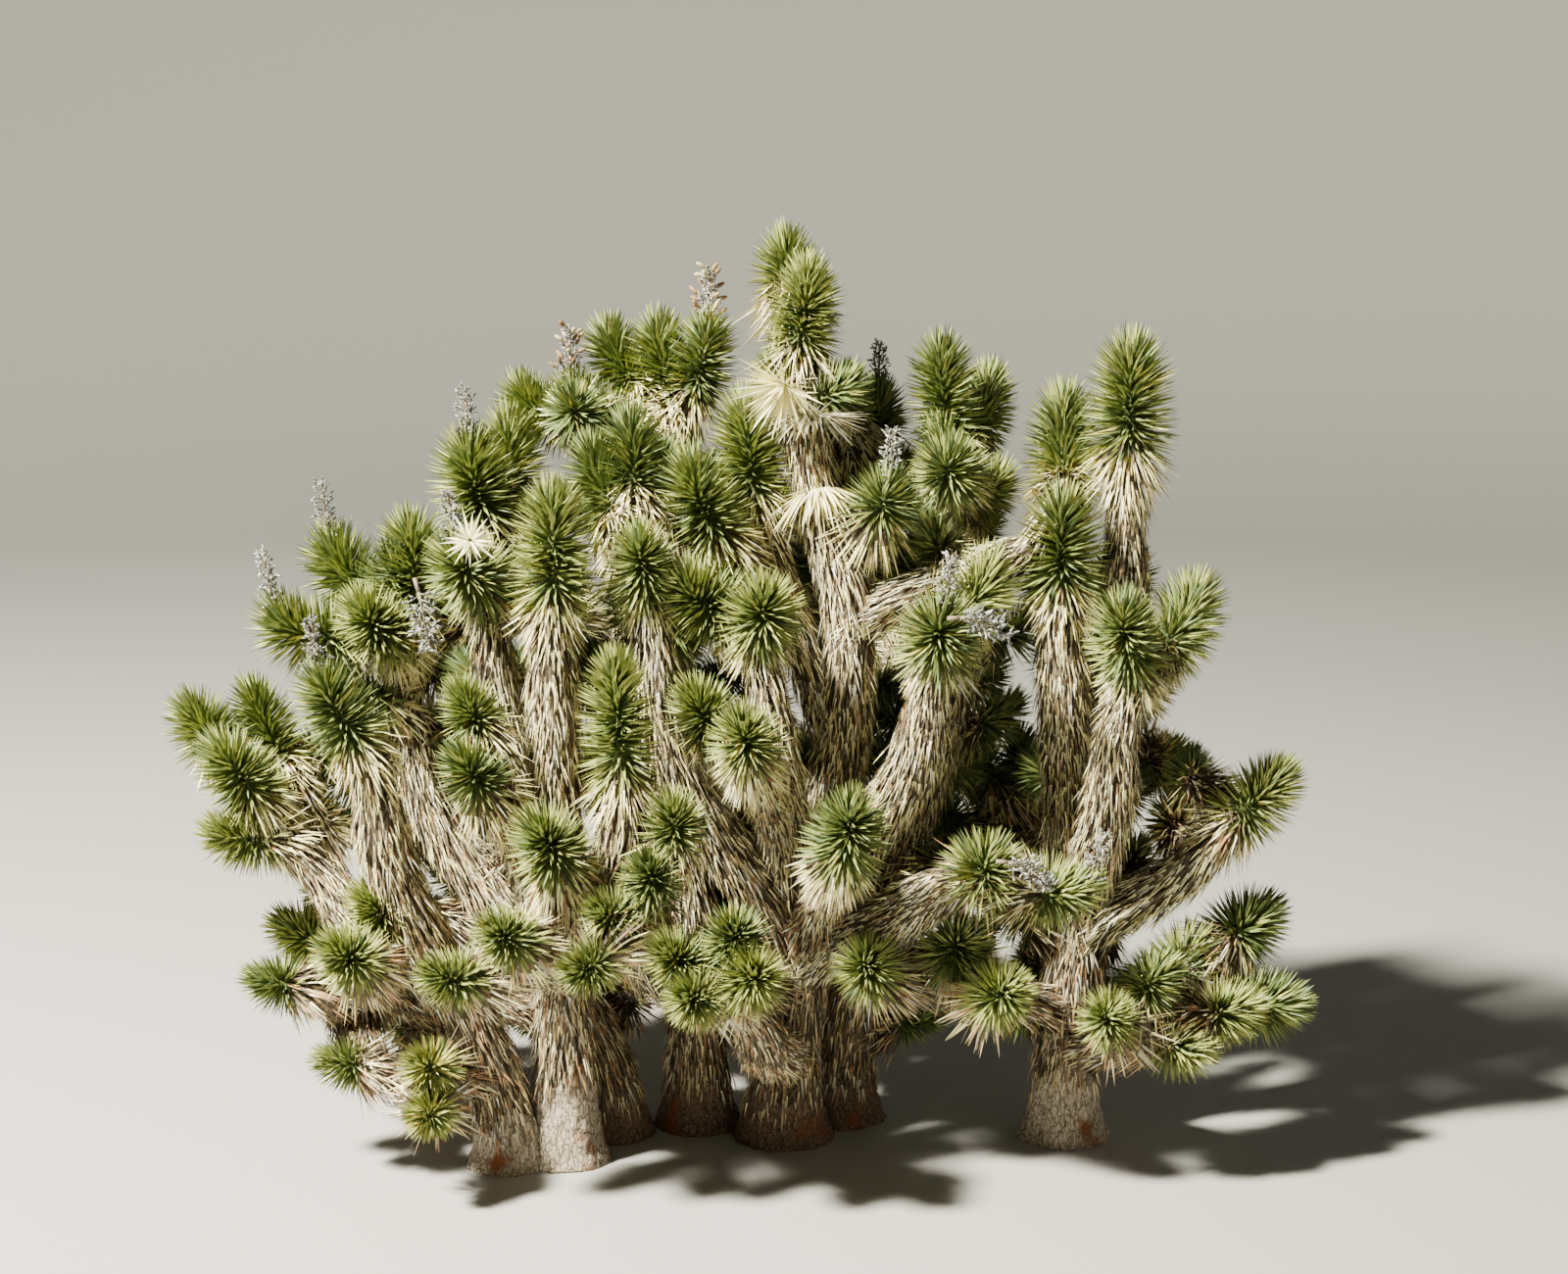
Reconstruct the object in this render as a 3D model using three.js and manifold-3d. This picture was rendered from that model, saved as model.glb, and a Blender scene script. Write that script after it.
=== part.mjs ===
// Tree yucca: a dense many-stemmed clump on one root, about 5 m wide, 3 m deep and 4 m tall.
// Limbs in a thatch of dead leaves fork near the ground, and each shoot ends in a head of green leaves.
// Sizes are in millimetres: +X to the right, +Y away from the viewer, +Z up, the ground at z = 0.
import * as THREE from "three";
import { mergeVertices } from "three/addons/utils/BufferGeometryUtils.js";
import Module from "manifold-3d";

const wasm = await Module();
wasm.setup();

// Neighbouring pieces keep this far apart, and a stem's foot lies this far inside the tip that carries it.
const GAP = 0.35;
const SET_IN = 30;
// Limbs: corners of their section, distance between their stations, and how unevenly the thatch stands.
const LIMB_SIDES = 8;
const STATION = 340;
const THATCH_WAVE = 0.07;
// How far a limb holds its direction at either end, as a share of its length, and how much it turns at its
// foot towards its goal, where it grows on from a tip and where it leaves the side of a limb.
const HOLD = 0.4;
const TURN_FROM_TIP = 0.45;
const TURN_FROM_SIDE = 0.8;
// A trunk widens to its root flare over the first stretch above the ground.
const FLARE = 0.55;
const FLARE_HEIGHT = 150;
const FLARE_STATION = 0.35;
// Shoots: the arms that carry the heads of leaves.
const SHOOT_SIDES = 5;
const SHOOT_STATION = 420;
const SHOOT_RADIUS = 88;
const SHOOT_THINS = 0.94;
const FORK_SHARE = 0.42;
const FORK_TURN = 0.75;
// Heads: the bare core that the leaves stand on, the green stretch, a band of leaves and a leaf.
const CORE_RADIUS = 62;
const TIP_RADIUS = 34;
const GREEN = 170;
const BAND = 100;
const LEAF = 140;
// A head's tilt above the horizon, in degrees: at the ground, per metre of height, and more on a long column.
const GROUND_TILT = 8;
const TILT_PER_METRE = 24;
const COLUMN_TILT = 20;
const UPRIGHT = 88;
// A leaf's angle to the shoot, in degrees, at the foot of the green stretch and at its tip.
const LOWEST_LEAF = 112;
const HIGHEST_LEAF = 24;
// Clear space kept round a leaf and over the thatch, and the lengths tried for it before it is left out.
const LEAF_CLEARANCE = 3;
const THATCH_CLEARANCE = 1.08;
const LEAF_TRIES = [1, 0.82, 0.64];
// Old flower stalks: height above the head, thickness at the foot and the stubs that stand off them.
const STALK_HEIGHT = 250;
const STALK_RADIUS = 15;
const STALK_TIP_RADIUS = 5;
const STALK_STUB = 48;
const STALK_BARE = 0.3;
const STALK_SUNK = 60;

const THATCH = new THREE.MeshStandardMaterial({ color: 0xa8977a, roughness: 0.95, metalness: 0 });
const BARK = new THREE.MeshStandardMaterial({ color: 0x8a7b6a, roughness: 0.95, metalness: 0 });
const LEAVES = new THREE.MeshStandardMaterial({ color: 0x7d8c3c, roughness: 0.6, metalness: 0 });

// Trunks stand on the ground at foot and rise to tip. Radii count the thatch.
const TRUNKS = [
  { name: "trunk_main", foot: [0, 0], tip: [285, 0, 2350], radius: [165, 125] },
  { name: "trunk_left", foot: [-945, -300], tip: [-965, -430, 2330], radius: [140, 112] },
  { name: "trunk_left_leaning", foot: [-1190, -350], tip: [-1680, -640, 1760], radius: [135, 118] },
  { name: "trunk_right", foot: [1240, 0], tip: [1470, 30, 2720], radius: [150, 112] },
  { name: "trunk_back", foot: [-385, 160], tip: [-560, 540, 2780], radius: [145, 115] },
  { name: "trunk_back_left", foot: [-760, 40], tip: [-1660, 220, 1900], radius: [135, 115] },
  { name: "trunk_back_right", foot: [260, 240], tip: [790, 350, 2600], radius: [145, 115] },
];

// Boughs leave a trunk at a share of its length. rise tells how far the tip turns upright.
const BOUGHS = [
  { name: "bough_top", on: "trunk_main", at: 1,
    tip: [90, 100, 3220], radius: [122, 105], rise: 1 },
  { name: "bough_far_left", on: "trunk_left_leaning", at: 0.45,
    tip: [-1960, -350, 1270], radius: [112, 105], rise: 0.4 },
  { name: "bough_left_crown", on: "trunk_left", at: 0.34,
    tip: [-1250, -120, 2240], radius: [118, 110], rise: 0.9 },
  { name: "bough_left_front", on: "trunk_left", at: 0.34,
    tip: [-655, -745, 1740], radius: [124, 114], rise: 1 },
  { name: "bough_centre_left", on: "trunk_main", at: 0.3,
    tip: [-545, -340, 2260], radius: [118, 112], rise: 1 },
  { name: "bough_centre", on: "trunk_main", at: 0.4,
    tip: [-70, -400, 2110], radius: [122, 118], rise: 1 },
  { name: "bough_front_left", on: "trunk_main", at: 0.27,
    tip: [-610, -720, 1030], radius: [112, 105], rise: 0.4 },
  { name: "bough_front_low", on: "trunk_main", at: 0.13,
    tip: [-120, -760, 760], radius: [118, 108], rise: 0.3 },
  { name: "bough_front_right", on: "trunk_main", at: 0.32,
    tip: [720, -620, 1340], radius: [110, 108], rise: 0.1 },
  { name: "bough_centre_right", on: "trunk_main", at: 0.44,
    tip: [590, -400, 2060], radius: [120, 114], rise: 1 },
  { name: "bough_cross", on: "trunk_main", at: 0.97,
    tip: [1095, -75, 2670], radius: [100, 92], rise: 0.1 },
  { name: "bough_right_low", on: "trunk_right", at: 0.14,
    tip: [1560, -400, 590], radius: [110, 98], rise: 0.1 },
  { name: "bough_right_arm", on: "trunk_right", at: 0.33,
    tip: [1850, -200, 1400], radius: [115, 105], rise: 0.4 },
  { name: "bough_right_column", on: "trunk_right", at: 0.3,
    tip: [1190, -80, 2390], radius: [120, 114], rise: 1 },
  { name: "bough_right_front", on: "trunk_right", at: 0.36,
    tip: [1390, -400, 1920], radius: [118, 110], rise: 1 },
];

// Masses of foliage: a stem that forks into shoots, each with a head of leaves. The heads stand in a row
// through centre, from -across to +across, and every other one is pushed aside by lift. size scales heads,
// green lengthens their green stretch, in turn where it is a list, and stalks counts the old flower stalks.
const MASSES = [
  { name: "heads_top", on: "bough_top", heads: 2, green: [1, 2.6],
    centre: [55, 350, 3720], across: [45, -150, -120] },
  { name: "heads_far_left", on: "bough_far_left", heads: 3,
    centre: [-2430, -250, 1670], across: [-90, 150, 230], lift: [110, -150, 100] },
  { name: "heads_far_left_high", on: "bough_far_left", at: 0.75, heads: 1, green: 1.7,
    centre: [-2250, 0, 1870] },
  { name: "heads_left_low", on: "trunk_left_leaning", at: 0.33, heads: 4, size: 0.85,
    centre: [-2170, -400, 880], across: [-70, -190, -110], lift: [450, -310, 320] },
  { name: "heads_left_foot", on: "trunk_left_leaning", at: 0.2, heads: 3, size: 0.78,
    centre: [-1460, -930, 520], across: [0, 30, 100], lift: [-440, 400, -10] },
  { name: "heads_left_leaning", on: "trunk_left_leaning", heads: 1, green: 1.7, stalks: 1,
    centre: [-1850, -700, 2080] },
  { name: "heads_upper_left", on: "trunk_back_left", heads: 4, green: 1.2, stalks: 2,
    centre: [-1870, -80, 2310], across: [270, -110, 60], lift: [0, 310, 230] },
  { name: "heads_left_crown", on: "bough_left_crown", heads: 3, green: 1.3, stalks: 2,
    centre: [-1280, 50, 2800], across: [70, 350, 230], lift: [-60, -50, 170] },
  { name: "heads_left_inner", on: "trunk_left", at: 0.36, heads: 2, size: 0.8,
    centre: [-1300, -650, 1950], across: [-10, 90, 120] },
  { name: "heads_left_front_low", on: "trunk_left", at: 0.24, heads: 3,
    centre: [-1160, -980, 1300], across: [210, 30, 280], lift: [40, -170, -60] },
  { name: "heads_left", on: "trunk_left", heads: 1, green: 2.1,
    centre: [-950, -450, 2720] },
  { name: "heads_left_front", on: "bough_left_front", heads: 1, green: 2.5,
    centre: [-680, -750, 2050] },
  { name: "heads_front_left", on: "bough_front_left", heads: 4, size: 0.82,
    centre: [-600, -1000, 1350], across: [210, 110, 280], lift: [-50, 20, 30] },
  { name: "heads_centre_left", on: "bough_centre_left", heads: 3, green: 1.3,
    centre: [-730, 0, 3020], across: [80, 0, 60], lift: [140, -450, -380] },
  { name: "heads_back_crown_left", on: "trunk_back", heads: 5, green: 1.2, stalks: 2,
    centre: [-560, 570, 3440], across: [-220, 100, -20], lift: [-490, -20, -260] },
  { name: "heads_crown_middle", on: "trunk_main", at: 0.72, heads: 2, green: 1.4,
    centre: [-270, -20, 3000], across: [-110, -120, -100] },
  { name: "heads_centre", on: "bough_centre", heads: 3, stalks: 1,
    centre: [-180, -300, 2490], across: [100, -200, -50], lift: [-220, -50, -10] },
  { name: "heads_front_middle", on: "bough_centre", at: 0.3, heads: 2,
    centre: [-260, -650, 2010], across: [100, -150, -30] },
  { name: "heads_front_low", on: "bough_front_low", heads: 4, size: 0.9,
    centre: [-170, -1070, 1180], across: [-60, 90, 110], lift: [-220, -40, -170] },
  { name: "heads_front_high", on: "trunk_main", at: 0.33, heads: 1, green: 1.6,
    centre: [260, -900, 1600] },
  { name: "heads_crown_right", on: "trunk_main", heads: 3, size: 0.9, stalks: 2,
    centre: [340, 600, 3220], across: [-80, -100, 40], lift: [90, -760, -340] },
  { name: "heads_back_crown_right", on: "trunk_back_right", heads: 4, green: [1, 1.6],
    centre: [860, 160, 2890], across: [170, 190, -80], lift: [-120, 220, 410] },
  { name: "heads_cross", on: "bough_cross", heads: 1, green: 2.2,
    centre: [1215, 330, 3060] },
  { name: "heads_right_column", on: "bough_right_column", heads: 1, green: 1.8,
    centre: [1175, -110, 2680] },
  { name: "heads_right_tall", on: "trunk_right", heads: 1, green: 1.9,
    centre: [1470, 0, 3290] },
  { name: "heads_centre_right", on: "bough_centre_right", heads: 2, stalks: 1,
    centre: [740, -310, 2420], across: [110, 190, 70] },
  { name: "heads_right_front", on: "bough_right_front", heads: 2, green: 1.5,
    centre: [1560, -250, 2330], across: [180, 240, 0] },
  { name: "heads_right_arm", on: "bough_right_arm", heads: 1, green: 1.6,
    centre: [2060, -200, 1590] },
  { name: "heads_right_low", on: "bough_right_low", heads: 4, size: 0.82,
    centre: [1500, -650, 890], across: [170, 110, 110], lift: [250, 70, -280] },
  { name: "heads_right_foot", on: "bough_right_low", at: 0.8, heads: 3, size: 0.95,
    centre: [1920, -240, 780], across: [-190, 50, 110], lift: [120, 150, 230] },
  { name: "heads_front_right", on: "bough_front_right", heads: 2, stalks: 1,
    centre: [1000, -660, 1330], across: [-190, -40, 70] },
  { name: "heads_right_shade", on: "trunk_right", at: 0.2, heads: 3,
    centre: [620, -680, 920], across: [280, -110, -30], lift: [90, 130, 110] },
  { name: "heads_right_back", on: "trunk_right", at: 0.55, heads: 3,
    centre: [1620, 520, 2000], across: [-130, -180, 480], lift: [20, 150, -50] },
  { name: "heads_back_low_left", on: "trunk_back_left", at: 0.35, heads: 4,
    centre: [-1500, 900, 1200], across: [-330, -200, 150], lift: [60, 120, 200] },
  { name: "heads_back_low", on: "trunk_back", at: 0.25, heads: 4,
    centre: [-250, 1270, 1100], across: [380, 40, 100], lift: [-60, 90, 220] },
  { name: "heads_back_low_right", on: "trunk_back_right", at: 0.25, heads: 4,
    centre: [1150, 1050, 1150], across: [350, -230, 130], lift: [60, 130, 200] },
  { name: "heads_back_left", on: "trunk_back", at: 0.55, heads: 4,
    centre: [-900, 1080, 2200], across: [-320, -130, 100], lift: [60, 130, 230] },
  { name: "heads_back_right", on: "trunk_back_right", at: 0.55, heads: 4,
    centre: [450, 1080, 2300], across: [340, -60, 100], lift: [-60, 100, 260] },
];

const UP = new THREE.Vector3(0, 0, 1);
const vector = (numbers) => new THREE.Vector3(...numbers);
const mix = THREE.MathUtils.lerp;

// A seeded stream of numbers from 0 to 1, the same on every run.
function seeded(seed) {
  let state = seed >>> 0;
  return () => {
    state = (state + 0x6d2b79f5) >>> 0;
    let t = state;
    t = Math.imul(t ^ (t >>> 15), t | 1);
    t ^= t + Math.imul(t ^ (t >>> 7), t | 61);
    return ((t ^ (t >>> 14)) >>> 0) / 4294967296;
  };
}

// A limb's line from foot to tip, setting out along setOut and arriving along arrive.
function bend(foot, tip, setOut, arrive) {
  const pull = foot.distanceTo(tip) * HOLD;
  const first = foot.clone().addScaledVector(setOut, pull);
  const last = tip.clone().addScaledVector(arrive, -pull);
  return new THREE.CubicBezierCurve3(foot, first, last, tip);
}

// Rings round a line: each has its centre, its two cross directions, its radius and its turn.
function ringsAlong(line, shares, radiusAt, turnAt = () => 0) {
  const fine = 60;
  const frames = line.computeFrenetFrames(fine, false);
  return shares.map((share, i) => {
    const near = Math.round(share * fine);
    return {
      share,
      centre: line.getPointAt(share),
      along: line.getTangentAt(share),
      side: frames.normals[near],
      over: frames.binormals[near],
      radius: radiusAt(share, i),
      turn: turnAt(i),
    };
  });
}

function corner(ring, index, sides) {
  const angle = ((index + ring.turn) / sides) * 2 * Math.PI;
  return ring.centre
    .clone()
    .addScaledVector(ring.side, ring.radius * Math.cos(angle))
    .addScaledVector(ring.over, ring.radius * Math.sin(angle));
}

// The closed skin through the rings. leafOn may turn a face into a leaf by giving the leaf's tip.
function skin(rings, sides, leafOn = () => null) {
  const corners = [];
  const face = (a, b, c, ring, leafy) => {
    const tip = leafy ? leafOn([a, b, c], ring) : null;
    if (tip) corners.push(a, b, tip, b, c, tip, c, a, tip);
    else corners.push(a, b, c);
  };
  for (let r = 0; r + 1 < rings.length; r++) {
    const [low, high] = [rings[r], rings[r + 1]];
    for (let k = 0; k < sides; k++) {
      const [a, b] = [corner(low, k, sides), corner(low, k + 1, sides)];
      const [c, d] = [corner(high, k, sides), corner(high, k + 1, sides)];
      face(a, b, c, low, true);
      face(b, d, c, low, false);
    }
  }
  const [first, last] = [rings[0], rings[rings.length - 1]];
  for (let k = 0; k < sides; k++) {
    face(first.centre, corner(first, k + 1, sides), corner(first, k, sides), first, false);
    face(corner(last, k, sides), corner(last, k + 1, sides), last.centre, last, true);
  }
  const geometry = new THREE.BufferGeometry().setFromPoints(corners);
  return mergeVertices(geometry, 1e-3);
}

function solidOf(geometry) {
  const vertProperties = geometry.attributes.position.array;
  const triVerts = new Uint32Array(geometry.index.array);
  return new wasm.Manifold(new wasm.Mesh({ numProp: 3, vertProperties, triVerts }));
}

function geometryOf(solid) {
  const mesh = solid.getMesh();
  const geometry = new THREE.BufferGeometry();
  geometry.setAttribute("position", new THREE.BufferAttribute(mesh.vertProperties, 3));
  geometry.setIndex(new THREE.BufferAttribute(mesh.triVerts, 1));
  geometry.computeVertexNormals();
  return geometry;
}

const evenShares = (count) => Array.from({ length: count + 1 }, (_, i) => i / count);

// Limbs, with their lines and radii.
const limbs = new Map();

function addLimb(limb, line, seed) {
  const random = seeded(seed);
  const count = Math.max(2, Math.round(line.getLength() / STATION));
  const waves = evenShares(count).map(() => 1 + THATCH_WAVE * (2 * random() - 1));
  const [foot, tip] = limb.radius;
  const radiusAt = (share) => {
    const flare = limb.on ? 0 : FLARE * Math.exp(-(share * line.getLength()) / FLARE_HEIGHT);
    return mix(foot, tip, share) * (1 + flare);
  };
  const shares = evenShares(count);
  if (!limb.on) shares.splice(1, 0, FLARE_STATION / count);
  limbs.set(limb.name, { ...limb, line, shares, waves, radiusAt });
}

// A limb's solid. grow makes it larger on all sides, for cutting what comes near it.
function limbSolid(limb, grow = 0) {
  const radiusAt = (share, i) => limb.radiusAt(share) * limb.waves[i % limb.waves.length] + grow;
  const rings = ringsAlong(limb.line, limb.shares, radiusAt);
  rings[0].centre.addScaledVector(rings[0].along, -grow);
  rings.at(-1).centre.addScaledVector(rings.at(-1).along, grow);
  return solidOf(skin(rings, LIMB_SIDES));
}

TRUNKS.forEach((trunk, i) => {
  const foot = vector([...trunk.foot, 0]);
  addLimb(trunk, bend(foot, vector(trunk.tip), UP, UP), 11 + i);
});

// Where a limb or stem sets out from the limb that carries it, a little inside it.
function setOutFrom(carrier, at, goal) {
  const limb = limbs.get(carrier);
  const share = Math.min(at, 1 - SET_IN / limb.line.getLength());
  const foot = limb.line.getPointAt(share);
  const along = limb.line.getTangentAt(share);
  const away = goal.clone().sub(foot).normalize();
  const setOut = along.lerp(away, at === 1 ? TURN_FROM_TIP : TURN_FROM_SIDE).normalize();
  return { foot, setOut };
}

BOUGHS.forEach((bough, i) => {
  const tip = vector(bough.tip);
  const { foot, setOut } = setOutFrom(bough.on, bough.at, tip);
  const arrive = tip.clone().sub(foot).normalize().lerp(UP, bough.rise).normalize();
  addLimb(bough, bend(foot, tip, setOut, arrive), 41 + i);
});

// The way a head faces: outward near the ground, and upright at the crown or on a long green column.
function facing(place, green) {
  const tilt = GROUND_TILT + (TILT_PER_METRE * place.z) / 1000 + COLUMN_TILT * (green - 1);
  const angle = THREE.MathUtils.degToRad(Math.min(UPRIGHT, tilt));
  const out = new THREE.Vector3(place.x, place.y, 0).normalize();
  return out.multiplyScalar(Math.cos(angle)).addScaledVector(UP, Math.sin(angle));
}

// Every shoot of a mass. The one that reaches furthest leads, and the others fork off it.
function growMass(mass, index) {
  const random = seeded(101 + index);
  const { at = 1, across = [0, 0, 0], lift = [0, 0, 0], size = 1, green = 1, stalks = 0 } = mass;
  const centre = vector(mass.centre);
  const { foot, setOut } = setOutFrom(mass.on, at, centre);
  const greens = [green].flat();
  const shoots = [];
  for (let i = 0; i < mass.heads; i++) {
    const step = mass.heads === 1 ? 0 : (2 * i) / (mass.heads - 1) - 1;
    const place = centre.clone().addScaledVector(vector(across), step);
    if (i % 2 === 1) place.add(vector(lift));
    const long = greens[i % greens.length];
    const scale = size * mix(0.9, 1.08, random());
    const stretch = GREEN * long * scale * mix(0.9, 1.1, random());
    const away = place.clone().sub(foot).normalize();
    const face = facing(place, long).lerp(away, 0.25 * random()).normalize();
    const tip = place.clone().addScaledVector(face, stretch / 2);
    shoots.push({ scale, stretch, face, tip, stalk: i < stalks, turn: random() });
  }
  const reach = (shoot) => foot.distanceTo(shoot.tip);
  const leader = shoots.reduce((a, b) => (reach(a) > reach(b) ? a : b));
  leader.line = bend(foot, leader.tip, setOut, leader.face);
  for (const shoot of shoots.filter((shoot) => shoot !== leader)) {
    const share = (FORK_SHARE * reach(shoot)) / reach(leader);
    const fork = leader.line.getPointAt(share);
    const away = shoot.tip.clone().sub(fork).normalize();
    const leave = leader.line.getTangentAt(share).lerp(away, FORK_TURN).normalize();
    shoot.line = bend(fork, shoot.tip, leave, shoot.face);
  }
  return { ...mass, shoots };
}

const masses = MASSES.map(growMass);

// A shoot's stations: even steps over its thatch, then a band of leaves at a time.
function shootShares(shoot) {
  const length = shoot.line.getLength();
  const bare = Math.max(0.1, 1 - shoot.stretch / length);
  const steps = Math.max(1, Math.round((bare * length) / SHOOT_STATION));
  const bands = Math.max(2, Math.round(shoot.stretch / BAND));
  const shares = evenShares(steps).map((s) => s * bare);
  for (let i = 1; i <= bands; i++) shares.push(mix(bare, 1, i / bands));
  return { shares, bare, steps };
}

function shootRadius(shoot, share, bare) {
  if (share < bare - 1e-6) {
    return SHOOT_RADIUS * mix(1, SHOOT_THINS, share / bare) * mix(1, shoot.scale, 0.5);
  }
  const up = (share - bare) / (1 - bare);
  return mix(CORE_RADIUS, TIP_RADIUS, up * up) * shoot.scale;
}

// The core line of every head, against which a leaf's own space is measured.
const heads = masses.flatMap((mass) =>
  mass.shoots.map((shoot) => {
    const from = 1 - Math.min(0.9, shoot.stretch / shoot.line.getLength());
    return { shoot, core: new THREE.Line3(shoot.line.getPointAt(from), shoot.line.getPointAt(1)) };
  }),
);

// Thick lines of the limbs, stems and thatched arms: what a leaf must stay clear of.
function thickLine(owner, line, from, to, radiusAt) {
  const count = Math.max(2, Math.round((line.getLength() * (to - from)) / 90));
  return evenShares(count).map((s) => {
    const share = mix(from, to, s);
    return { owner, centre: line.getPointAt(share), radius: radiusAt(share) };
  });
}

const obstacles = [
  ...[...limbs.values()].flatMap((limb) => thickLine(limb, limb.line, 0, 1, limb.radiusAt)),
  ...masses.flatMap((mass) =>
    mass.shoots.flatMap((shoot) => {
      const { bare } = shootShares(shoot);
      return thickLine(shoot, shoot.line, 0, bare, (share) => shootRadius(shoot, share, bare));
    }),
  ),
];

// True if a leaf from root to tip keeps to its head's space and touches no limb.
function leafIsClear(shoot, root, tip, width) {
  const own = heads.find((head) => head.shoot === shoot);
  const nearest = new THREE.Vector3();
  const distance = (line, point) => line.closestPointToPoint(point, true, nearest).distanceTo(point);
  return [0.3, 0.55, 0.8, 1].every((share) => {
    const point = root.clone().lerp(tip, share);
    const room = width * (1 - share) + LEAF_CLEARANCE;
    if (point.z < room) return false;
    const inner = distance(own.core, point);
    const alone = heads.every((head) => head === own || distance(head.core, point) > inner + 2 * room);
    const past = (o) => o.centre.distanceTo(point) > o.radius * THATCH_CLEARANCE + room;
    return alone && obstacles.every((o) => o.owner === shoot || past(o));
  });
}

// The solid of one shoot with its leaves.
function shootSolid(shoot, grow = 0) {
  const { shares, bare, steps } = shootShares(shoot);
  const radiusAt = (share) => shootRadius(shoot, share, bare) + grow;
  const turnAt = (i) => shoot.turn + Math.max(0, i - steps) / 2;
  const rings = ringsAlong(shoot.line, shares, radiusAt, turnAt);
  const leafOn = ([a, b, c], ring) => {
    if (grow || ring.share < bare - 1e-6) return null;
    const root = a.clone().add(b).add(c).divideScalar(3);
    const height = (ring.share - bare) / (1 - bare);
    const angle = THREE.MathUtils.degToRad(mix(LOWEST_LEAF, HIGHEST_LEAF, Math.min(1, height)));
    const radial = root.clone().sub(ring.centre);
    radial.addScaledVector(ring.along, -radial.dot(ring.along)).normalize();
    const way = radial.multiplyScalar(Math.sin(angle)).addScaledVector(ring.along, Math.cos(angle));
    const width = a.distanceTo(b) / 2;
    for (const part of LEAF_TRIES) {
      const tip = root.clone().addScaledVector(way, LEAF * shoot.scale * part);
      if (leafIsClear(shoot, root, tip, width)) return tip;
    }
    return null;
  };
  return solidOf(skin(rings, SHOOT_SIDES, leafOn));
}

// An old flower stalk on a head: a thin spire with short stubs all the way up.
function stalkSolid(shoot) {
  const along = shoot.line.getTangentAt(1);
  const foot = shoot.line.getPointAt(1).addScaledVector(along, -STALK_SUNK);
  const way = along.lerp(UP, 0.5).normalize();
  const tip = foot.clone().addScaledVector(way, STALK_SUNK + STALK_HEIGHT * shoot.scale);
  const line = new THREE.LineCurve3(foot, tip);
  const radiusAt = (share) => mix(STALK_RADIUS, STALK_TIP_RADIUS, share);
  const rings = ringsAlong(line, evenShares(3), radiusAt, (i) => i / 2);
  const stub = ([a, b, c], ring) => {
    if (ring.share < STALK_BARE) return null;
    const root = a.clone().add(b).add(c).divideScalar(3);
    const out = root.clone().sub(ring.centre).normalize().lerp(ring.along, 0.4);
    return root.addScaledVector(out, STALK_STUB);
  };
  return solidOf(skin(rings, 3, stub));
}

function massSolid(mass, grow = 0) {
  const pieces = mass.shoots.map((shoot) => shootSolid(shoot, grow));
  if (!grow) mass.shoots.filter((shoot) => shoot.stalk).forEach((shoot) => pieces.push(stalkSolid(shoot)));
  return pieces.reduce((whole, piece) => whole.add(piece));
}

const largest = (solid) => solid.decompose().reduce((a, b) => (a.volume() > b.volume() ? a : b));

// Each piece gives way, by the gap, to all that was placed before it.
const yucca = new THREE.Group();
yucca.name = "tree_yucca";
const placed = [];

function place(name, solid, grown, material) {
  const clear = placed.reduce((left, other) => left.subtract(other), solid);
  placed.push(grown);
  const mesh = new THREE.Mesh(geometryOf(largest(clear)), material);
  mesh.name = name;
  yucca.add(mesh);
}

for (const limb of limbs.values()) {
  place(limb.name, limbSolid(limb), limbSolid(limb, GAP), limb.on ? THATCH : BARK);
}
for (const mass of masses) {
  place(mass.name, massSolid(mass), massSolid(mass, GAP), LEAVES);
}

export default yucca;
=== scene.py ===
import math
from dataclasses import dataclass

import bpy
import numpy as np
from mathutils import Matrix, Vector, noise


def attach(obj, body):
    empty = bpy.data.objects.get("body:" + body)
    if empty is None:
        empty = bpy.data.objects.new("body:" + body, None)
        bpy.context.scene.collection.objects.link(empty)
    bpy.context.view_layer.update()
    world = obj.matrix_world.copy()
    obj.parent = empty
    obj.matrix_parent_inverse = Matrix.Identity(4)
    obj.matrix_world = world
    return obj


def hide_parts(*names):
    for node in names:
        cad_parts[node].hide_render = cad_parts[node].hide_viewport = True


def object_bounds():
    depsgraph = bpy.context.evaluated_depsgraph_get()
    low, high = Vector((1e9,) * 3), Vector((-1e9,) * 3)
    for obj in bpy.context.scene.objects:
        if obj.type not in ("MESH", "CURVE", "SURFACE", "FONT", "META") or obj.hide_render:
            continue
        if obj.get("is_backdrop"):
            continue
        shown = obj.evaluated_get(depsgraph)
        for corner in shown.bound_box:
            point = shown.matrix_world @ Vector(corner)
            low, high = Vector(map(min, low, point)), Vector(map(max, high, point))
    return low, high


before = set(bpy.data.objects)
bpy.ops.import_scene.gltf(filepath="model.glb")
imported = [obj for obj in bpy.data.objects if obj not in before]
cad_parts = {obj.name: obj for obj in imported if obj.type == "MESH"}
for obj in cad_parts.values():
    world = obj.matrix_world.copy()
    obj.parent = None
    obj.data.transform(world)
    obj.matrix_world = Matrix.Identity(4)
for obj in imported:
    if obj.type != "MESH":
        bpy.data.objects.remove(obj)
CAD_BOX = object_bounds()

# Tree yucca: a dense many-stemmed clump of limbs in a thatch of dead leaves, with a head of green leaves on
# each shoot. Metres: +X to the right, +Y away from the viewer, +Z up, the ground at z = 0.


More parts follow.
